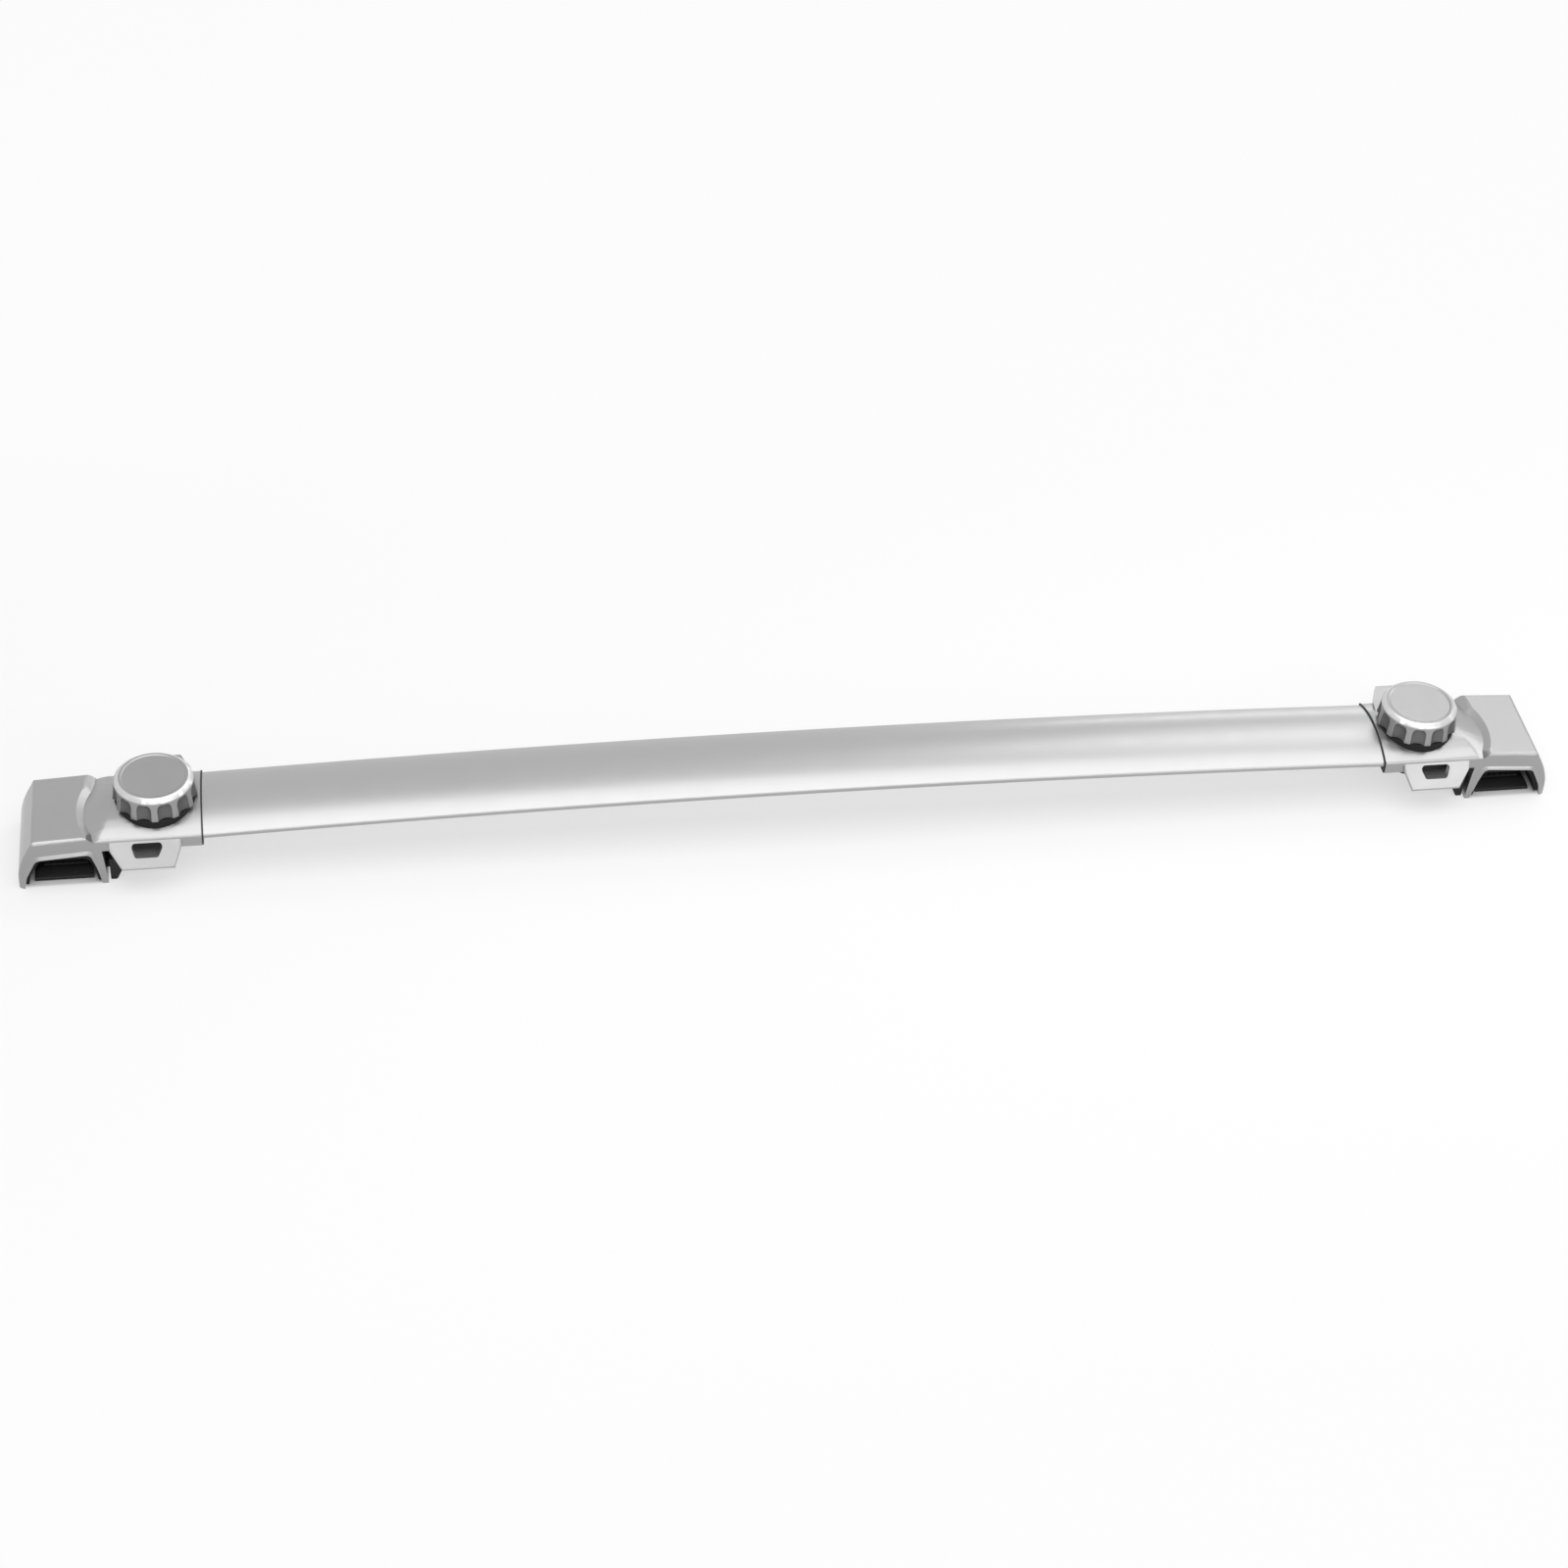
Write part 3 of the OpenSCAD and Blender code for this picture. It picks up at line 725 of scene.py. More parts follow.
    def build(self, palette: Palette) -> bpy.types.Object:
        """Makes the bar and hides its CAD node.

        Args:
            palette: the finishes.

        Returns:
            The finished piece.
        """
        work = bmesh.new()
        first, last = [], []
        for outline in [self.outline(), *self.cells()]:
            start, end = self.sweep(work, outline)
            first += start
            last += end
        for edges in (first, last):
            bmesh.ops.triangle_fill(work, use_beauty=True, use_dissolve=False, edges=edges)
        bmesh.ops.recalc_face_normals(work, faces=work.faces)
        piece = link_mesh("bar_extrusion", work)
        bpy.ops.object.shade_smooth_by_angle(angle=SMOOTH)
        palette.dress(piece, "bar_silver")
        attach(piece, "crossbar")
        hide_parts("bar")
        return piece


@dataclass
class ReturnSpring(WorkedNode):
    """A return spring, which closes up against its top end as the jaw lifts; here it keeps the CAD node's shape."""

    side: Side = Side.LEFT
    lift: float = 7.9

    def build(self, palette: Palette) -> bpy.types.Object:
        """Makes the spring with a mesh of its own; its length is not tied to the jaw.

        Args:
            palette: the finishes.

        Returns:
            The finished piece.
        """
        piece = super().build(palette)
        low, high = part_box(self.node)
        keep = 1 - self.lift * MM / (high.z - low.z)
        joint = self.side.node("jaw_lift")
        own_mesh(piece)
        return piece


@dataclass
class Housing(WorkedNode):
    """A foot's housing, whose long edges roll along the falling hood and whose outer wall swells.

    Sizes are in millimetres, and a foot's own x is measured outwards from its seam.

    Args:
        roll_r: radius of the hood's long edges, cut in rows at the depths of roll_cuts, above roll_z.
        upright_r: radius of the outer wall's upright edges, which fades out over fade_z.
        valley_x: start of the hood, whose faces are cut from hood_x, and the wall's from wall_x.
        wall_slack: how far inside the wall's line a vertex still counts as the wall's.
        eyelet_x: middle of the eyelet, whose rim is rounded by eyelet_r below eyelet_top.
        window_half: half width of the eyelet's window, whose lower edge is at window_z.
        hood: (x, z) line of the hood's top.
        wall: (z, x) line of the outer wall.
        swell: (z, how far the wall swells).
    """

    side: Side = Side.LEFT
    seam_x: float = 443.0
    half_depth: float = 36.0
    roll_r: float = 3.0
    roll_cuts: Tuple[float, ...] = (0.15, 0.5, 1.0, 1.7, 2.4, 3.0)
    roll_z: float = 36.0
    upright_r: float = 1.8
    fade_z: Point = (39.0, 42.0)
    valley_x: float = 76.0
    hood_x: float = 100.0
    wall_x: float = 117.0
    wall_slack: float = 1.2
    eyelet_x: float = 38.7
    eyelet_top: float = 37.0
    eyelet_r: float = 1.5
    window_half: float = 12.3
    window_z: float = 28.4
    hood: Tuple[Point, Point] = ((82.5, 43.8), (120.4, 41.6))
    wall: Tuple[Point, ...] = ((0.0, 132.4), (7.0, 132.4), (24.8, 126.6), (41.6, 120.4))
    swell: Tuple[Point, ...] = (
        (0.0, 0.0), (7.0, 0.0), (9.0, 0.5), (12.4, 1.4), (16.0, 1.9), (20.0, 2.1), (24.8, 2.0), (28.9, 1.7),
        (33.0, 1.1), (36.5, 0.5), (40.0, 0.0))

    @staticmethod
    def between(table: Tuple[Point, ...], value: float) -> float:
        """Looks up a table on straight lines.

        Args:
            table: (place, value) rows.
            value: place to look up.

        Returns:
            The value there, or the nearest row's outside the table.
        """
        if value <= table[0][0]:
            return table[0][1]
        for (low, a), (high, b) in zip(table, table[1:]):
            if value <= high:
                return a + (b - a) * (value - low) / (high - low)
        return table[-1][1]

    @staticmethod
    def drop(deep: float, radius: float) -> float:
        """How far a round edge lies inside its face at a depth from the other face."""
        left = max(0.0, radius - deep)
        return radius - math.sqrt(max(0.0, radius * radius - left * left))

    def _merge(self, mesh: bpy.types.Mesh) -> None:
        """Joins the triangles, then makes the hood's and the eyelet's round forms.

        Args:
            mesh: copy of the node's mesh.
        """
        super()._merge(mesh)
        work = bmesh.new()
        work.from_mesh(mesh)
        self._cut_rows(work)
        for vertex in work.verts:
            self._shift(vertex)
        self._round_eyelet(work)
        work.to_mesh(mesh)
        work.free()

    def _cut_rows(self, work: bmesh.types.BMesh) -> None:
        """Cuts the rows of vertices that the swell and the rolled edges need.

        Args:
            work: the housing.
        """
        wall, hood = ((self.seam_x + x) * MM for x in (self.wall_x, self.hood_x))
        for level, _ in self.swell[1:]:
            faces = [f for f in work.faces if min(self._reach(v) for v in f.verts) > wall]
            self._cut(work, faces, (0.0, 0.0, level), (0, 0, 1))
        for deep in self.roll_cuts:
            for edge in (-1, 1):
                faces = [f for f in work.faces if max(self._reach(v) for v in f.verts) > hood]
                self._cut(work, faces, (0.0, edge * (self.half_depth - deep), 0.0), (0, 1, 0))

    def _reach(self, vertex: bmesh.types.BMVert) -> float:
        """Distance of a vertex from the bar's middle, on this foot's side."""
        return vertex.co.x * self.side.value

    @staticmethod
    def _cut(work: bmesh.types.BMesh, faces: list, place: Triple, normal: Triple) -> None:
        """Cuts some faces along a plane.

        Args:
            work: the housing.
            faces: faces to cut.
            place: point of the plane, in millimetres.
            normal: normal of the plane.
        """
        geom = set(faces) | {e for f in faces for e in f.edges} | {v for f in faces for v in f.verts}
        bmesh.ops.bisect_plane(work, geom=list(geom), dist=TOUCH / 2, plane_co=Vector(place) * MM, plane_no=normal)

    def _shift(self, vertex: bmesh.types.BMVert) -> None:
        """Moves a vertex of the hood onto the rolled edges and the swell.

        Args:
            vertex: any vertex of the housing.
        """
        x = self._reach(vertex) / MM - self.seam_x
        deep = self.half_depth - abs(vertex.co.y) / MM
        if x < self.valley_x or deep < -0.01:
            return
        z = vertex.co.z / MM
        outer = x > self.between(self.wall, z) - self.wall_slack
        if z > self.roll_z:
            (x0, z0), (x1, z1) = self.hood
            z = min(z, z0 + (x - x0) * (z1 - z0) / (x1 - x0) - self.drop(deep, self.roll_r))
        if outer:
            low, high = self.fade_z
            fade = min(1.0, max(0.0, (high - z) / (high - low)))
            x += self.between(self.swell, z) - self.drop(deep, self.upright_r) * fade
        vertex.co.x = (x + self.seam_x) * self.side.value * MM
        vertex.co.z = z * MM

    def _round_eyelet(self, work: bmesh.types.BMesh) -> None:
        """Rounds the rim of the eyelet's sloping face, but not its window.

        Args:
            work: the housing.
        """
        work.normal_update()
        rim = set()
        for face in work.faces:
            sloping = face.normal.y < -0.7 and face.normal.z > 0.45
            if not sloping or face.calc_center_median().y > -self.half_depth * MM:
                continue
            for edge in face.edges:
                middle = (edge.verts[0].co + edge.verts[1].co) / 2 / MM
                across = abs(abs(middle.x) - self.seam_x - self.eyelet_x)
                if across < self.window_half + 1 and middle.z > self.window_z - 1:
                    continue
                if middle.z < self.eyelet_top and edge.calc_face_angle(0.0) > 0.5:
                    rim.add(edge)
        bmesh.ops.bevel(
            work, geom=list(rim), offset=self.eyelet_r * MM, segments=3, profile=0.5, affect="EDGES",
            clamp_overlap=False)


@dataclass
class ArchLip:
    """Flared lip round the front and rear mouths of a foot's rail channel.

    Args:
        side: the foot.
        seam_x: where the foot's own x starts.
        face_y: depth of the housing's faces.
        proud: how far the lip's outer edge stands out, as flare is its inner edge's.
        sink: how far the lip reaches into the housing.
        edge: width of its broken edges.
        steps: points of a rounded corner.
        inner: (x, z, radius) corners of its inner edge, as outer's.
        ends: (x, z) ends of both edges at the inner leg.
    """

    side: Side
    seam_x: float = 443.0
    face_y: float = 36.0
    proud: float = 0.3
    flare: float = 1.5
    sink: float = 0.6
    edge: float = 0.3
    steps: int = 8
    inner: Tuple[Triple, ...] = (
        (128.35, 0.3, 0.0), (126.3, 10.0, 10.0), (118.5, 25.85, 6.0), (80.0, 28.95, 5.0), (76.4, 17.5, 10.0))
    outer: Tuple[Triple, ...] = (
        (131.3, 0.3, 0.0), (129.2, 10.4, 12.0), (120.7, 28.7, 8.5), (77.8, 32.0, 7.5), (73.6, 18.4, 12.0))
    ends: Tuple[Point, Point] = ((74.2, 8.0), (71.4, 8.0))

    def outline(self, corners: Tuple[Triple, ...], end: Point) -> List[Vector]:
        """Draws one edge of the lip, with each corner rounded by a quadratic curve.

        Args:
            corners: (x, z, radius) corners.
            end: (x, z) end.

        Returns:
            (x, z) points.
        """
        path = [*corners, (*end, 0.0)]
        points = []
        for k, (x, z, radius) in enumerate(path):
            here = Vector((x, z))
            if radius == 0.0:
                points.append(here)
                continue
            before, after = (Vector(path[n][:2]) - here for n in (k - 1, k + 1))
            turn = math.pi - before.angle(after)
            reach = radius * math.tan(turn / 2)
            start, stop = (here + way.normalized() * reach for way in (before, after))
            for n in range(self.steps + 1):
                t = n / self.steps
                points.append(start * (1 - t) ** 2 + here * (2 * t * (1 - t)) + stop * t ** 2)
        return points

    def build(self, palette: Palette) -> bpy.types.Object:
        """Makes both lips of one foot as closed strips.

        Args:
            palette: the finishes.

        Returns:
            The finished piece.
        """
        work = bmesh.new()
        near, far = self.outline(self.inner, self.ends[0]), self.outline(self.outer, self.ends[1])
        for face in (-1, 1):
            rows = []
            for a, b in zip(near, far):
                across = (b - a).normalized() * self.edge
                loop = [(a, -self.sink), (a, self.flare - self.edge), (a + across, self.flare),
                        (b - across, self.proud), (b, self.proud - self.edge), (b, -self.sink)]
                places = [(self.side.value * (self.seam_x + q.x), face * (self.face_y + out), q.y) for q, out in loop]
                rows.append([work.verts.new(Vector(place) * MM) for place in places])
            for low, high in zip(rows, rows[1:]):
                bridge(work, low, high)
            work.faces.new(rows[0])
            work.faces.new(rows[-1])
        bmesh.ops.recalc_face_normals(work, faces=work.faces)
        piece = link_mesh(self.side.node("arch_lip"), work)
        bpy.ops.object.shade_smooth_by_angle(angle=math.radians(40.0))
        palette.dress(piece, "foot_silver")
        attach(piece, "crossbar")
        return piece


@dataclass
class SeamSeal:
    """Rubber seal between the bar and a collar, which also covers the collar's end under the bar.

    Args:
        side: the foot.
        bar: the extrusion that it fits.
        thick: width of the seam.
        inset: how far it lies inside the collar's skin.
        gap: room between it and the bar.
        low_z: its lower edge.
        skin: how far the collar stands over the bar.
        steps: points along its top.
    """

    side: Side
    bar: Extrusion
    thick: float = 1.2
    inset: float = 0.2
    gap: float = 0.05
    low_z: float = 31.3
    skin: float = 1.0
    steps: int = 48

    def outer(self) -> List[Point]:
        """Draws the collar's section, a little inside it.

        Returns:
            (y, z) points.
        """
        bar = self.bar
        r = bar.arc_radius(bar.crown)
        half = bar.nose_y + bar.nose_r + self.skin - self.inset
        nose_top = bar.line_z + bar.nose_r
        depths = [bar.nose_y * (1 - 2 * k / self.steps) for k in range(self.steps + 1)]
        grown = r + self.skin - self.inset
        top = [(y, bar.line_z + bar.crown - r + math.sqrt(grown ** 2 - y * y)) for y in depths]
        return [(half, self.low_z), (half, nose_top), *top, (-half, nose_top), (-half, self.low_z)]

    def build(self, palette: Palette) -> bpy.types.Object:
        """Makes the seal and hides its CAD node.

        Args:
            palette: the finishes.

        Returns:
            The finished piece.
        """
        inner = [(y, self.bar.line_z + h) for h, y in self.bar.outline()]
        stretch = 1 + self.gap / self.bar.nose_y
        inner = [(y * stretch, z + math.copysign(self.gap, z - self.bar.line_z)) for y, z in inner]
        work = bmesh.new()
        faces = (self.bar.seam_x - self.thick, self.bar.seam_x)
        sheets = {x: [] for x in faces}
        for outline in (self.outer(), inner):
            rings = [[work.verts.new(Vector((self.side.value * x, y, z)) * MM) for y, z in outline] for x in faces]
            bridge(work, *rings)
            for x, ring in zip(faces, rings):
                sheets[x] += ring_edges(work, ring)
        for edges in sheets.values():
            bmesh.ops.triangle_fill(work, use_beauty=True, use_dissolve=False, edges=edges)
        bmesh.ops.recalc_face_normals(work, faces=work.faces)
        piece = link_mesh(self.side.node("seam_seal"), work)
        bpy.ops.object.shade_smooth_by_angle(angle=SMOOTH)
        palette.dress(piece, "seal_rubber")
        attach(piece, "crossbar")
        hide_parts(self.side.node("seam_gasket"))
        return piece


@dataclass
class FlutedKnob:
    """A knob whose broad flutes lean in with the cone of its side, over the CAD node's own ribs.

    Args:
        side: the foot.
        flutes: number of flutes.
        depth: depth of a flute at its middle, which is part of a circle of flute_r.
        arch_r: radius of the arch that ends a flute at arch_top.
        rim_r: radius of the rim at its foot, at foot_z.
        inner_r: radius of the CAD node's ribs, which are kept.
        height: height over its foot, with the chamfer's.
        dish_r: radius of the dish in its face, as deep as dish.
        skin_depth: depth under the top within which the CAD node's faces are taken over.
        turns: angles in degrees from a flute's middle at which it has a row.
        rises: heights of the rings below the arches.
    """

    side: Side
    flutes: int = 12
    depth: float = 2.9
    flute_r: float = 8.0
    arch_r: float = 6.0
    arch_top: float = 14.2
    rim_r: float = 0.8
    inner_r: float = 23.5
    height: float = 18.5
    chamfer: float = 3.0
    dish_r: float = 22.8
    dish: float = 0.5
    foot_z: float = 50.5
    skin_depth: float = 1.2
    turns: Tuple[float, ...] = (0.0, 2.5, 5.0, 7.0, 8.6, 9.7, 10.4, 11.0, 11.7, 13.2)
    rises: Tuple[float, ...] = (0.0, 0.25, 0.8, 3.0, 5.5, 8.2)

    def cone(self, rise: float) -> float:
        """Gives the side's radius.

        Args:
            rise: height over the knob's foot.

        Returns:
            Radius without flutes.
        """
        if rise < self.rim_r:
            return KNOB_R - self.rim_r + math.sqrt(max(0.0, rise * (2 * self.rim_r - rise)))
        return KNOB_R - (rise - self.rim_r) * KNOB_TAPER

    def radius(self, turn: float, rise: float) -> float:
        """Gives the radius in and between the flutes.

        Args:
            turn: angle from the middle of the nearest flute, in degrees.
            rise: height over the knob's foot.

        Returns:
            The radius there.
        """
        side = self.cone(rise)
        over = max(0.0, rise - (self.arch_top - self.arch_r)) / self.arch_r
        if over >= 1:
            return side
        reach = self.flute_r - self.depth
        hollow = reach + self.depth * math.sqrt(1 - over * over)
        middle = side + reach
        across = middle * math.sin(math.radians(turn))
        if hollow <= abs(across):
            return side
        return min(side, middle * math.cos(math.radians(turn)) - math.sqrt(hollow ** 2 - across ** 2))

    def rows(self) -> List[float]:
        """Spaces the rings of the side, up to the foot of the chamfer.

        Returns:
            Heights over the knob's foot.
        """
        arch = [self.arch_top - self.arch_r * (1 - math.sin(math.radians(a))) for a in range(12, 91, 6)]
        return [*self.rises, *arch, self.height - self.chamfer]

    def face_rings(self) -> List[Point]:
        """Lists the rings of the chamfer's upper edge, the face and its dish.

        Returns:
            (radius, rise) of each.
        """
        top, floor = self.height, self.height - self.dish
        return [
            (KNOB_FACE_R + 0.35, top - 0.3), (KNOB_FACE_R, top - 0.06), (KNOB_FACE_R - 0.5, top),
            (self.dish_r + 0.3, top), (self.dish_r, floor), (self.dish_r - 0.6, floor), (self.dish_r / 2, floor)]

    def build(self, palette: Palette) -> bpy.types.Object:
        """Makes the knob and hides its CAD node.

        Args:
            palette: the finishes.

        Returns:
            The finished piece.
        """
        work = bmesh.new()
        work.from_mesh(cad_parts[self.side.node("knob")].data)
        bmesh.ops.remove_doubles(work, verts=work.verts, dist=TOUCH)
        middle = Vector((self.side.value * KNOB_X * MM, 0.0))
        skin = [f for f in work.faces if self._is_skin(f, middle)]
        bmesh.ops.delete(work, geom=skin, context="FACES")
        rim = [e for e in work.edges if e.is_boundary and max(v.co.z for v in e.verts) < (self.foot_z + 0.1) * MM]
        pitch = 360.0 / self.flutes
        turns = sorted({t for t in self.turns} | {pitch - t for t in self.turns if t > 0} | {pitch / 2})
        angles = [(n + 0.5) * pitch + t for n in range(self.flutes) for t in turns]
        near = [min(t, pitch - t) for _ in range(self.flutes) for t in turns]
        rings = [[(self.radius(t, rise), rise) for t in near] for rise in self.rows()]
        rings += [[flat] * len(angles) for flat in self.face_rings()]
        ways = [Vector((math.cos(math.radians(a)), math.sin(math.radians(a)))) for a in angles]
        sheets = []
        for ring in rings:
            places = [(*(middle + way * r * MM), (self.foot_z + rise) * MM) for way, (r, rise) in zip(ways, ring)]
            sheets.append([work.verts.new(place) for place in places])
        for low, high in zip(sheets, sheets[1:]):
            bridge(work, low, high)
        work.faces.new(sheets[-1])
        foot = ring_edges(work, sheets[0])
        bmesh.ops.triangle_fill(work, use_beauty=True, use_dissolve=False, edges=foot + rim)
        bmesh.ops.recalc_face_normals(work, faces=work.faces)
        piece = link_mesh(self.side.node("knob_fluted"), work)
        bpy.ops.object.shade_smooth_by_angle(angle=SMOOTH)
        palette.dress(piece, "knob_silver")
        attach(piece, self.side.knob_body)
        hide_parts(self.side.node("knob"))
        return piece

    def _is_skin(self, face: bmesh.types.BMFace, middle: Vector) -> bool:
        """Tells the CAD node's outer faces, which the new skin takes over.

        Args:
            face: face of the CAD node.
            middle: the knob's axis, in metres.

        Returns:
            Whether it is on the outside.
        """
        if min(v.co.z for v in face.verts) > (self.foot_z + self.height - self.skin_depth) * MM:
            return True
        return max((v.co.xy - middle).length for v in face.verts) > (self.inner_r + 0.1) * MM


@dataclass
class KnobSkirt:
    """Black skirt that fills the gap between a knob and the curved pad under it.

    Args:
        side: the foot.
        knob_x: the knob's axis.
        outer_r: outer radius, as inner_r is the inner one.
        top_z: its top, whose outer edge is rounded by round_r.
        low_z: its foot, before it follows the pad.
        sink: how far it reaches into the pad.
        pad_crown: height of the bar's skin there, of radius pad_r, which the pad's skin covers.
        spokes: steps round it.
    """

    side: Side
    knob_x: float = KNOB_X
    outer_r: float = 28.9
    inner_r: float = 20.4
    top_z: float = 50.1
    round_r: float = 0.8
    low_z: float = 48.1
    sink: float = 0.6
    pad_crown: float = 48.0
    pad_r: float = 77.2
    skin: float = 1.0
    spokes: int = 96

    def pad_height(self, y: float) -> float:
        """Height of the pad's skin at a depth."""
        return self.pad_crown - self.pad_r + math.sqrt((self.pad_r + self.skin) ** 2 - y * y)

    def build(self, palette: Palette) -> bpy.types.Object:
        """Makes the skirt as a spun ring whose foot follows the pad.

        Args:
            palette: the finishes.

        Returns:
            The finished piece.
        """
        middle = Vector((self.side.value * self.knob_x, 0.0, 0.0))
        profile = [
            (self.inner_r, self.low_z), (self.inner_r, self.top_z), (self.outer_r - self.round_r, self.top_z),
            (self.outer_r, self.top_z - self.round_r), (self.outer_r, self.low_z)]
        mesh = bpy.data.meshes.new(self.side.node("knob_skirt"))
        piece = bpy.data.objects.new(mesh.name, mesh)
        bpy.context.scene.collection.objects.link(piece)
        corners = [(middle + Vector((r, 0.0, z))) * MM for r, z in profile]
        count = len(corners)
        mesh.from_pydata(corners, [(k, (k + 1) % count) for k in range(count)], [])
        activate(piece)
        bpy.ops.object.mode_set(mode="EDIT")
        bpy.ops.mesh.select_all(action="SELECT")
        bpy.ops.mesh.spin(steps=self.spokes, angle=2 * math.pi, center=middle * MM, axis=(0, 0, 1))
        bpy.ops.mesh.select_all(action="SELECT")
        bpy.ops.mesh.remove_doubles(threshold=0.01 * MM)
        bpy.ops.mesh.normals_make_consistent(inside=False)
        bpy.ops.object.mode_set(mode="OBJECT")
        for vertex in mesh.vertices:
            if vertex.co.z < (self.low_z + 0.5) * MM:
                vertex.co.z = (self.pad_height(vertex.co.y / MM) - self.sink) * MM
        bpy.ops.object.shade_smooth_by_angle(angle=SMOOTH)
        palette.dress(piece, "liner_rubber")
        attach(piece, "crossbar")
        return piece


Maker = Union[WorkedNode, Extrusion, ArchLip, SeamSeal, FlutedKnob, KnobSkirt]


@dataclass
class Crossbar:
    """Sub-assemblies of the bar: the extrusion, the two feet, their knobs and their jaws.

    Args:
        palette: the finishes.
        pieces: what has been built.
    """

    palette: Palette
    pieces: List[bpy.types.Object] = field(default_factory=list)

    def add(self, maker: Maker) -> None:
        """Builds one piece and reports it.

        Args:
            maker: what builds it.
        """
        piece = maker.build(self.palette)
        self.pieces.append(piece)
        log.info("%s: %d faces", piece.name, len(piece.data.polygons))

    def bar(self) -> None:
        """The bowed extrusion and its fixings."""
        self.add(Extrusion())
        self.add(WorkedNode("bar_screws", "crossbar", "zinc_steel", edge=0.2))
        self.add(WorkedNode("base_screws", "crossbar", "zinc_steel", edge=0.2))

    def foot(self, side: Side) -> None:
        """Builds the housing, lips, seal, base plate, liner and spring of one foot.

        Args:
            side: the foot.
        """
        self.add(Housing(side.node("foot_housing"), "crossbar", "foot_silver", edge=0.7, side=side))
        self.add(ArchLip(side))
        self.add(SeamSeal(side, Extrusion()))
        self.add(WorkedNode(side.node("base_plate"), "crossbar", "black_nylon", edge=0.3))
        self.add(WorkedNode(side.node("rail_liner"), "crossbar", "liner_rubber", edge=0.4))
        self.add(ReturnSpring(side.node("return_spring"), "crossbar", "spring_steel", smooth=70.0, side=side))

    def knob(self, side: Side) -> None:
        """Builds the knob, stud, washer, clip and black skirt of one foot.

        Args:
            side: the foot.
        """
        self.add(KnobSkirt(side))
        self.add(FlutedKnob(side))
        self.add(WorkedNode(side.node("clamp_stud"), side.knob_body, "zinc_steel"))
        self.add(WorkedNode(side.node("knob_washer"), side.knob_body, "zinc_steel", edge=0.15))
        self.add(WorkedNode(side.node("stud_clip"), side.knob_body, "zinc_steel", edge=0.1))

    def jaw(self, side: Side) -> None:
        """Builds the jaw, nut and grip of one foot.

        Args:
            side: the foot.
        """
        self.add(WorkedNode(side.node("clamp_jaw"), side.jaw_body, "black_jaw", edge=0.6))
        self.add(WorkedNode(side.node("jaw_nut"), side.jaw_body, "zinc_steel", edge=0.3))
        self.add(WorkedNode(side.node("jaw_grip"), side.jaw_body, "liner_rubber", edge=0.2))


@dataclass(frozen=True)
class Camera:
    """The photograph's view, solved from mirrored features of both feet.

    Args:
        place: the lens, in millimetres.
        azimuth: turn to the right of straight ahead, in degrees.
        elevation: angle of view downwards, in degrees.
        roll: tilt of the frame, in degrees.
        focal_px: focal length in pixels of a frame of frame_px.
        drop_px: how far the frame is shifted down.
        sensor: sensor width in millimetres.
    """

    place: Triple = (-347.6, -1795.7, 1622.2)
    azimuth: float = 10.57
    elevation: float = 41.28
    roll: float = 3.58
    focal_px: float = 3303.0
    frame_px: float = 1600.0
    drop_px: float = 6.0
    sensor: float = 36.0

    def build(self) -> bpy.types.Object:
        """Makes the camera and sets it as the scene's.

        Returns:
            The camera.
        """
        az, el, roll = (math.radians(v) for v in (self.azimuth, self.elevation, self.roll))
        ahead = Vector((math.sin(az) * math.cos(el), math.cos(az) * math.cos(el), -math.sin(el)))
        level = ahead.cross(Vector((0, 0, 1))).normalized()
        above = level.cross(ahead)
        right = level * math.cos(roll) + above * math.sin(roll)
        up = above * math.cos(roll) - level * math.sin(roll)
        data = bpy.data.cameras.new("camera")
        data.sensor_width = self.sensor
        data.lens = self.focal_px / self.frame_px * self.sensor
        data.shift_y = self.drop_px / self.frame_px
        data.clip_end = 20.0
        camera = bpy.data.objects.new("camera", data)
        turn = Matrix((right, up, -ahead)).transposed().to_4x4()
        camera.matrix_world = Matrix.Translation(Vector(self.place) * MM) @ turn
        bpy.context.scene.collection.objects.link(camera)
        bpy.context.scene.camera = camera
        return camera


@dataclass(frozen=True)
class AreaLamp:
    """A soft box that looks at a point.

    Args:
        name: name of the lamp.
        place: its place in metres.
        target: point that it looks at.
        width: its width in metres.
        depth: its height in metres.
        watts: its power.
    """

    name: str
    place: Triple
    target: Triple
    width: float
    depth: float
    watts: float

    def build(self) -> None:
        """Makes the lamp."""
        data = bpy.data.lights.new(self.name, "AREA")
        data.shape = "RECTANGLE"
        data.size = self.width
        data.size_y = self.depth
        data.energy = self.watts
        lamp = bpy.data.objects.new(self.name, data)
        lamp.location = self.place
        aim = Vector(self.target) - Vector(self.place)
        lamp.rotation_euler = aim.to_track_quat("-Z", "Y").to_euler()
        bpy.context.scene.collection.objects.link(lamp)


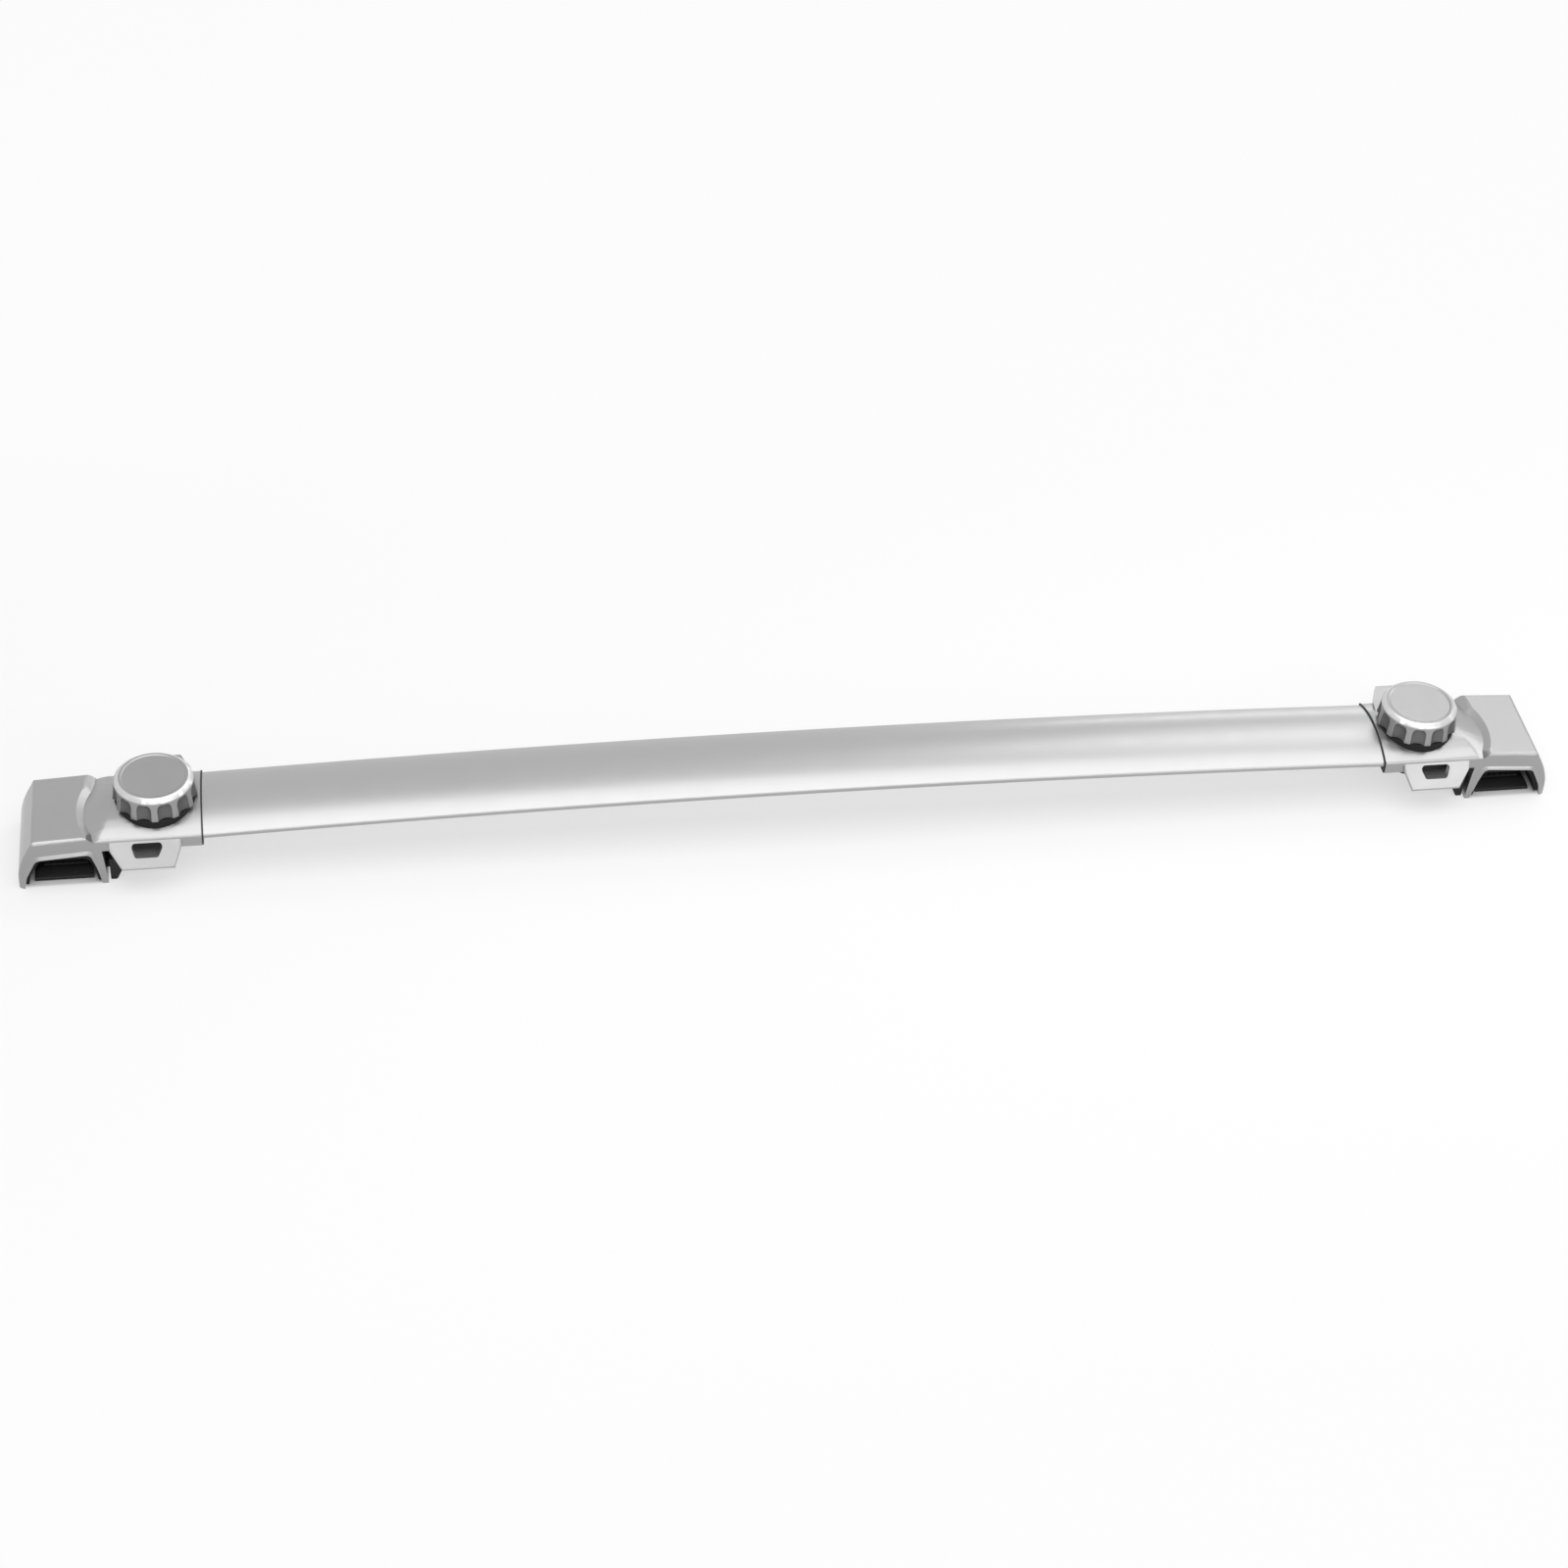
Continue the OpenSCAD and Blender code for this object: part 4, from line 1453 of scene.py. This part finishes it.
class Studio:
    """Pale floor, white surround and soft boxes.

    The floor shows more of the white background to the camera and to reflections the farther it
    lies from the bar, and none of it in the rail channels under the feet, which stay dark. NEAR_X,
    NEAR_Y and FAR are in metres, the channel's sizes in millimetres.
    """

    FLOOR = 0.92
    SURROUND = 0.38
    BACKGROUND = 0.98
    NEAR_X = 0.62
    NEAR_Y = 0.12
    FAR = 0.45
    WHITE_NEAR = 0.60
    WHITE_GAIN = 0.35
    CHANNEL_X = 543.5
    CHANNEL_HALF = (29.0, 36.5)
    CHANNEL_FADE = 3.0

    def floor(self) -> None:
        """A pale floor, lit and shadowed near the object and white to the background's rays far off."""
        bpy.ops.mesh.primitive_plane_add(size=24.0, location=(0.0, 4.0, -0.0002))
        floor = bpy.context.active_object
        floor.name = "floor"
        bpy.ops.object.transform_apply(location=True)
        s = Shader(bpy.data.materials.new("pale_floor"))
        s.set(Base_Color=grey(self.FLOOR), Roughness=1.0)
        s.surface.inputs["Specular IOR Level"].default_value = 0.0
        across, along = abs(s.axis("X")), abs(s.axis("Y"))
        away = ((across - self.NEAR_X).most(along - self.NEAR_Y) / self.FAR).clamped()
        wide, deep, fade = (size * MM for size in (*self.CHANNEL_HALF, self.CHANNEL_FADE))
        under_x = ((wide - abs(across - self.CHANNEL_X * MM)) / fade).clamped()
        under_foot = under_x * ((deep - along) / fade).clamped()
        glow = s.node("ShaderNodeEmission", {}, {"Color": grey(self.BACKGROUND), "Strength": 1.0}, "Emission")
        lit = Socket(s, s.surface.outputs[0])
        share = (away * self.WHITE_GAIN + self.WHITE_NEAR) * (1 - under_foot) * s.background_ray()
        both = s.node("ShaderNodeMixShader", {}, {0: share, 1: lit, 2: glow}, 0)
        s.tree.links.new(both.output, s.tree.nodes["Material Output"].inputs["Surface"])
        floor.data.materials.append(s.owner)

    def world(self) -> None:
        """Grey surround for light, near white where the camera and reflections look past the floor."""
        world = bpy.data.worlds.new("surround")
        bpy.context.scene.world = world
        s = Shader(world, "Background")
        s.set(Color=s.mix(s.background_ray(), grey(self.SURROUND), grey(self.BACKGROUND)))

    def lamps(self) -> None:
        """Overhead box, and softer boxes at the right, in front and behind."""
        for lamp in (
            AreaLamp("overhead", (0.2, -0.45, 2.4), (0.2, -0.45, 0.0), 3.6, 2.1, 42.0),
            AreaLamp("front_high", (-0.2, -2.6, 2.6), (0.0, 0.0, 0.0), 2.6, 0.7, 17.0),
            AreaLamp("front_left", (-0.75, -2.5, 1.0), (-0.5, 0.0, 0.0), 0.8, 0.6, 3.2),
            AreaLamp("rear_low", (1.5, 3.0, 0.5), (0.4, 0.0, 0.0), 1.2, 0.4, 4.0),
            AreaLamp("front_right", (1.6, -2.5, 1.4), (0.4, 0.0, 0.0), 1.5, 1.0, 9.0),
            AreaLamp("rear_right", (1.7, 2.0, 2.2), (0.5, 0.0, 0.0), 1.6, 1.4, 6.5),
            AreaLamp("crown_right", (1.25, 1.5, 2.3), (0.4, 0.0, 0.0), 1.0, 0.9, 3.2),
            AreaLamp("right", (2.4, 0.9, 1.4), (0.5, 0.0, 0.0), 1.1, 1.1, 8.0),
        ):
            lamp.build()

    def build(self) -> None:
        """Makes the whole studio."""
        bpy.context.scene.view_settings.view_transform = "Standard"
        self.floor()
        self.world()
        self.lamps()


def main() -> None:
    """Builds the crossbar, its finishes, the camera and the studio."""
    logging.basicConfig(level=logging.INFO, format="%(name)s %(message)s")
    deselect()
    Camera().build()
    crossbar = Crossbar(Palette())
    crossbar.bar()
    for side in Side:
        crossbar.foot(side)
        crossbar.knob(side)
        crossbar.jaw(side)
    log.info("%d pieces", len(crossbar.pieces))
    Studio().build()


if __name__ == "__main__":
    main()
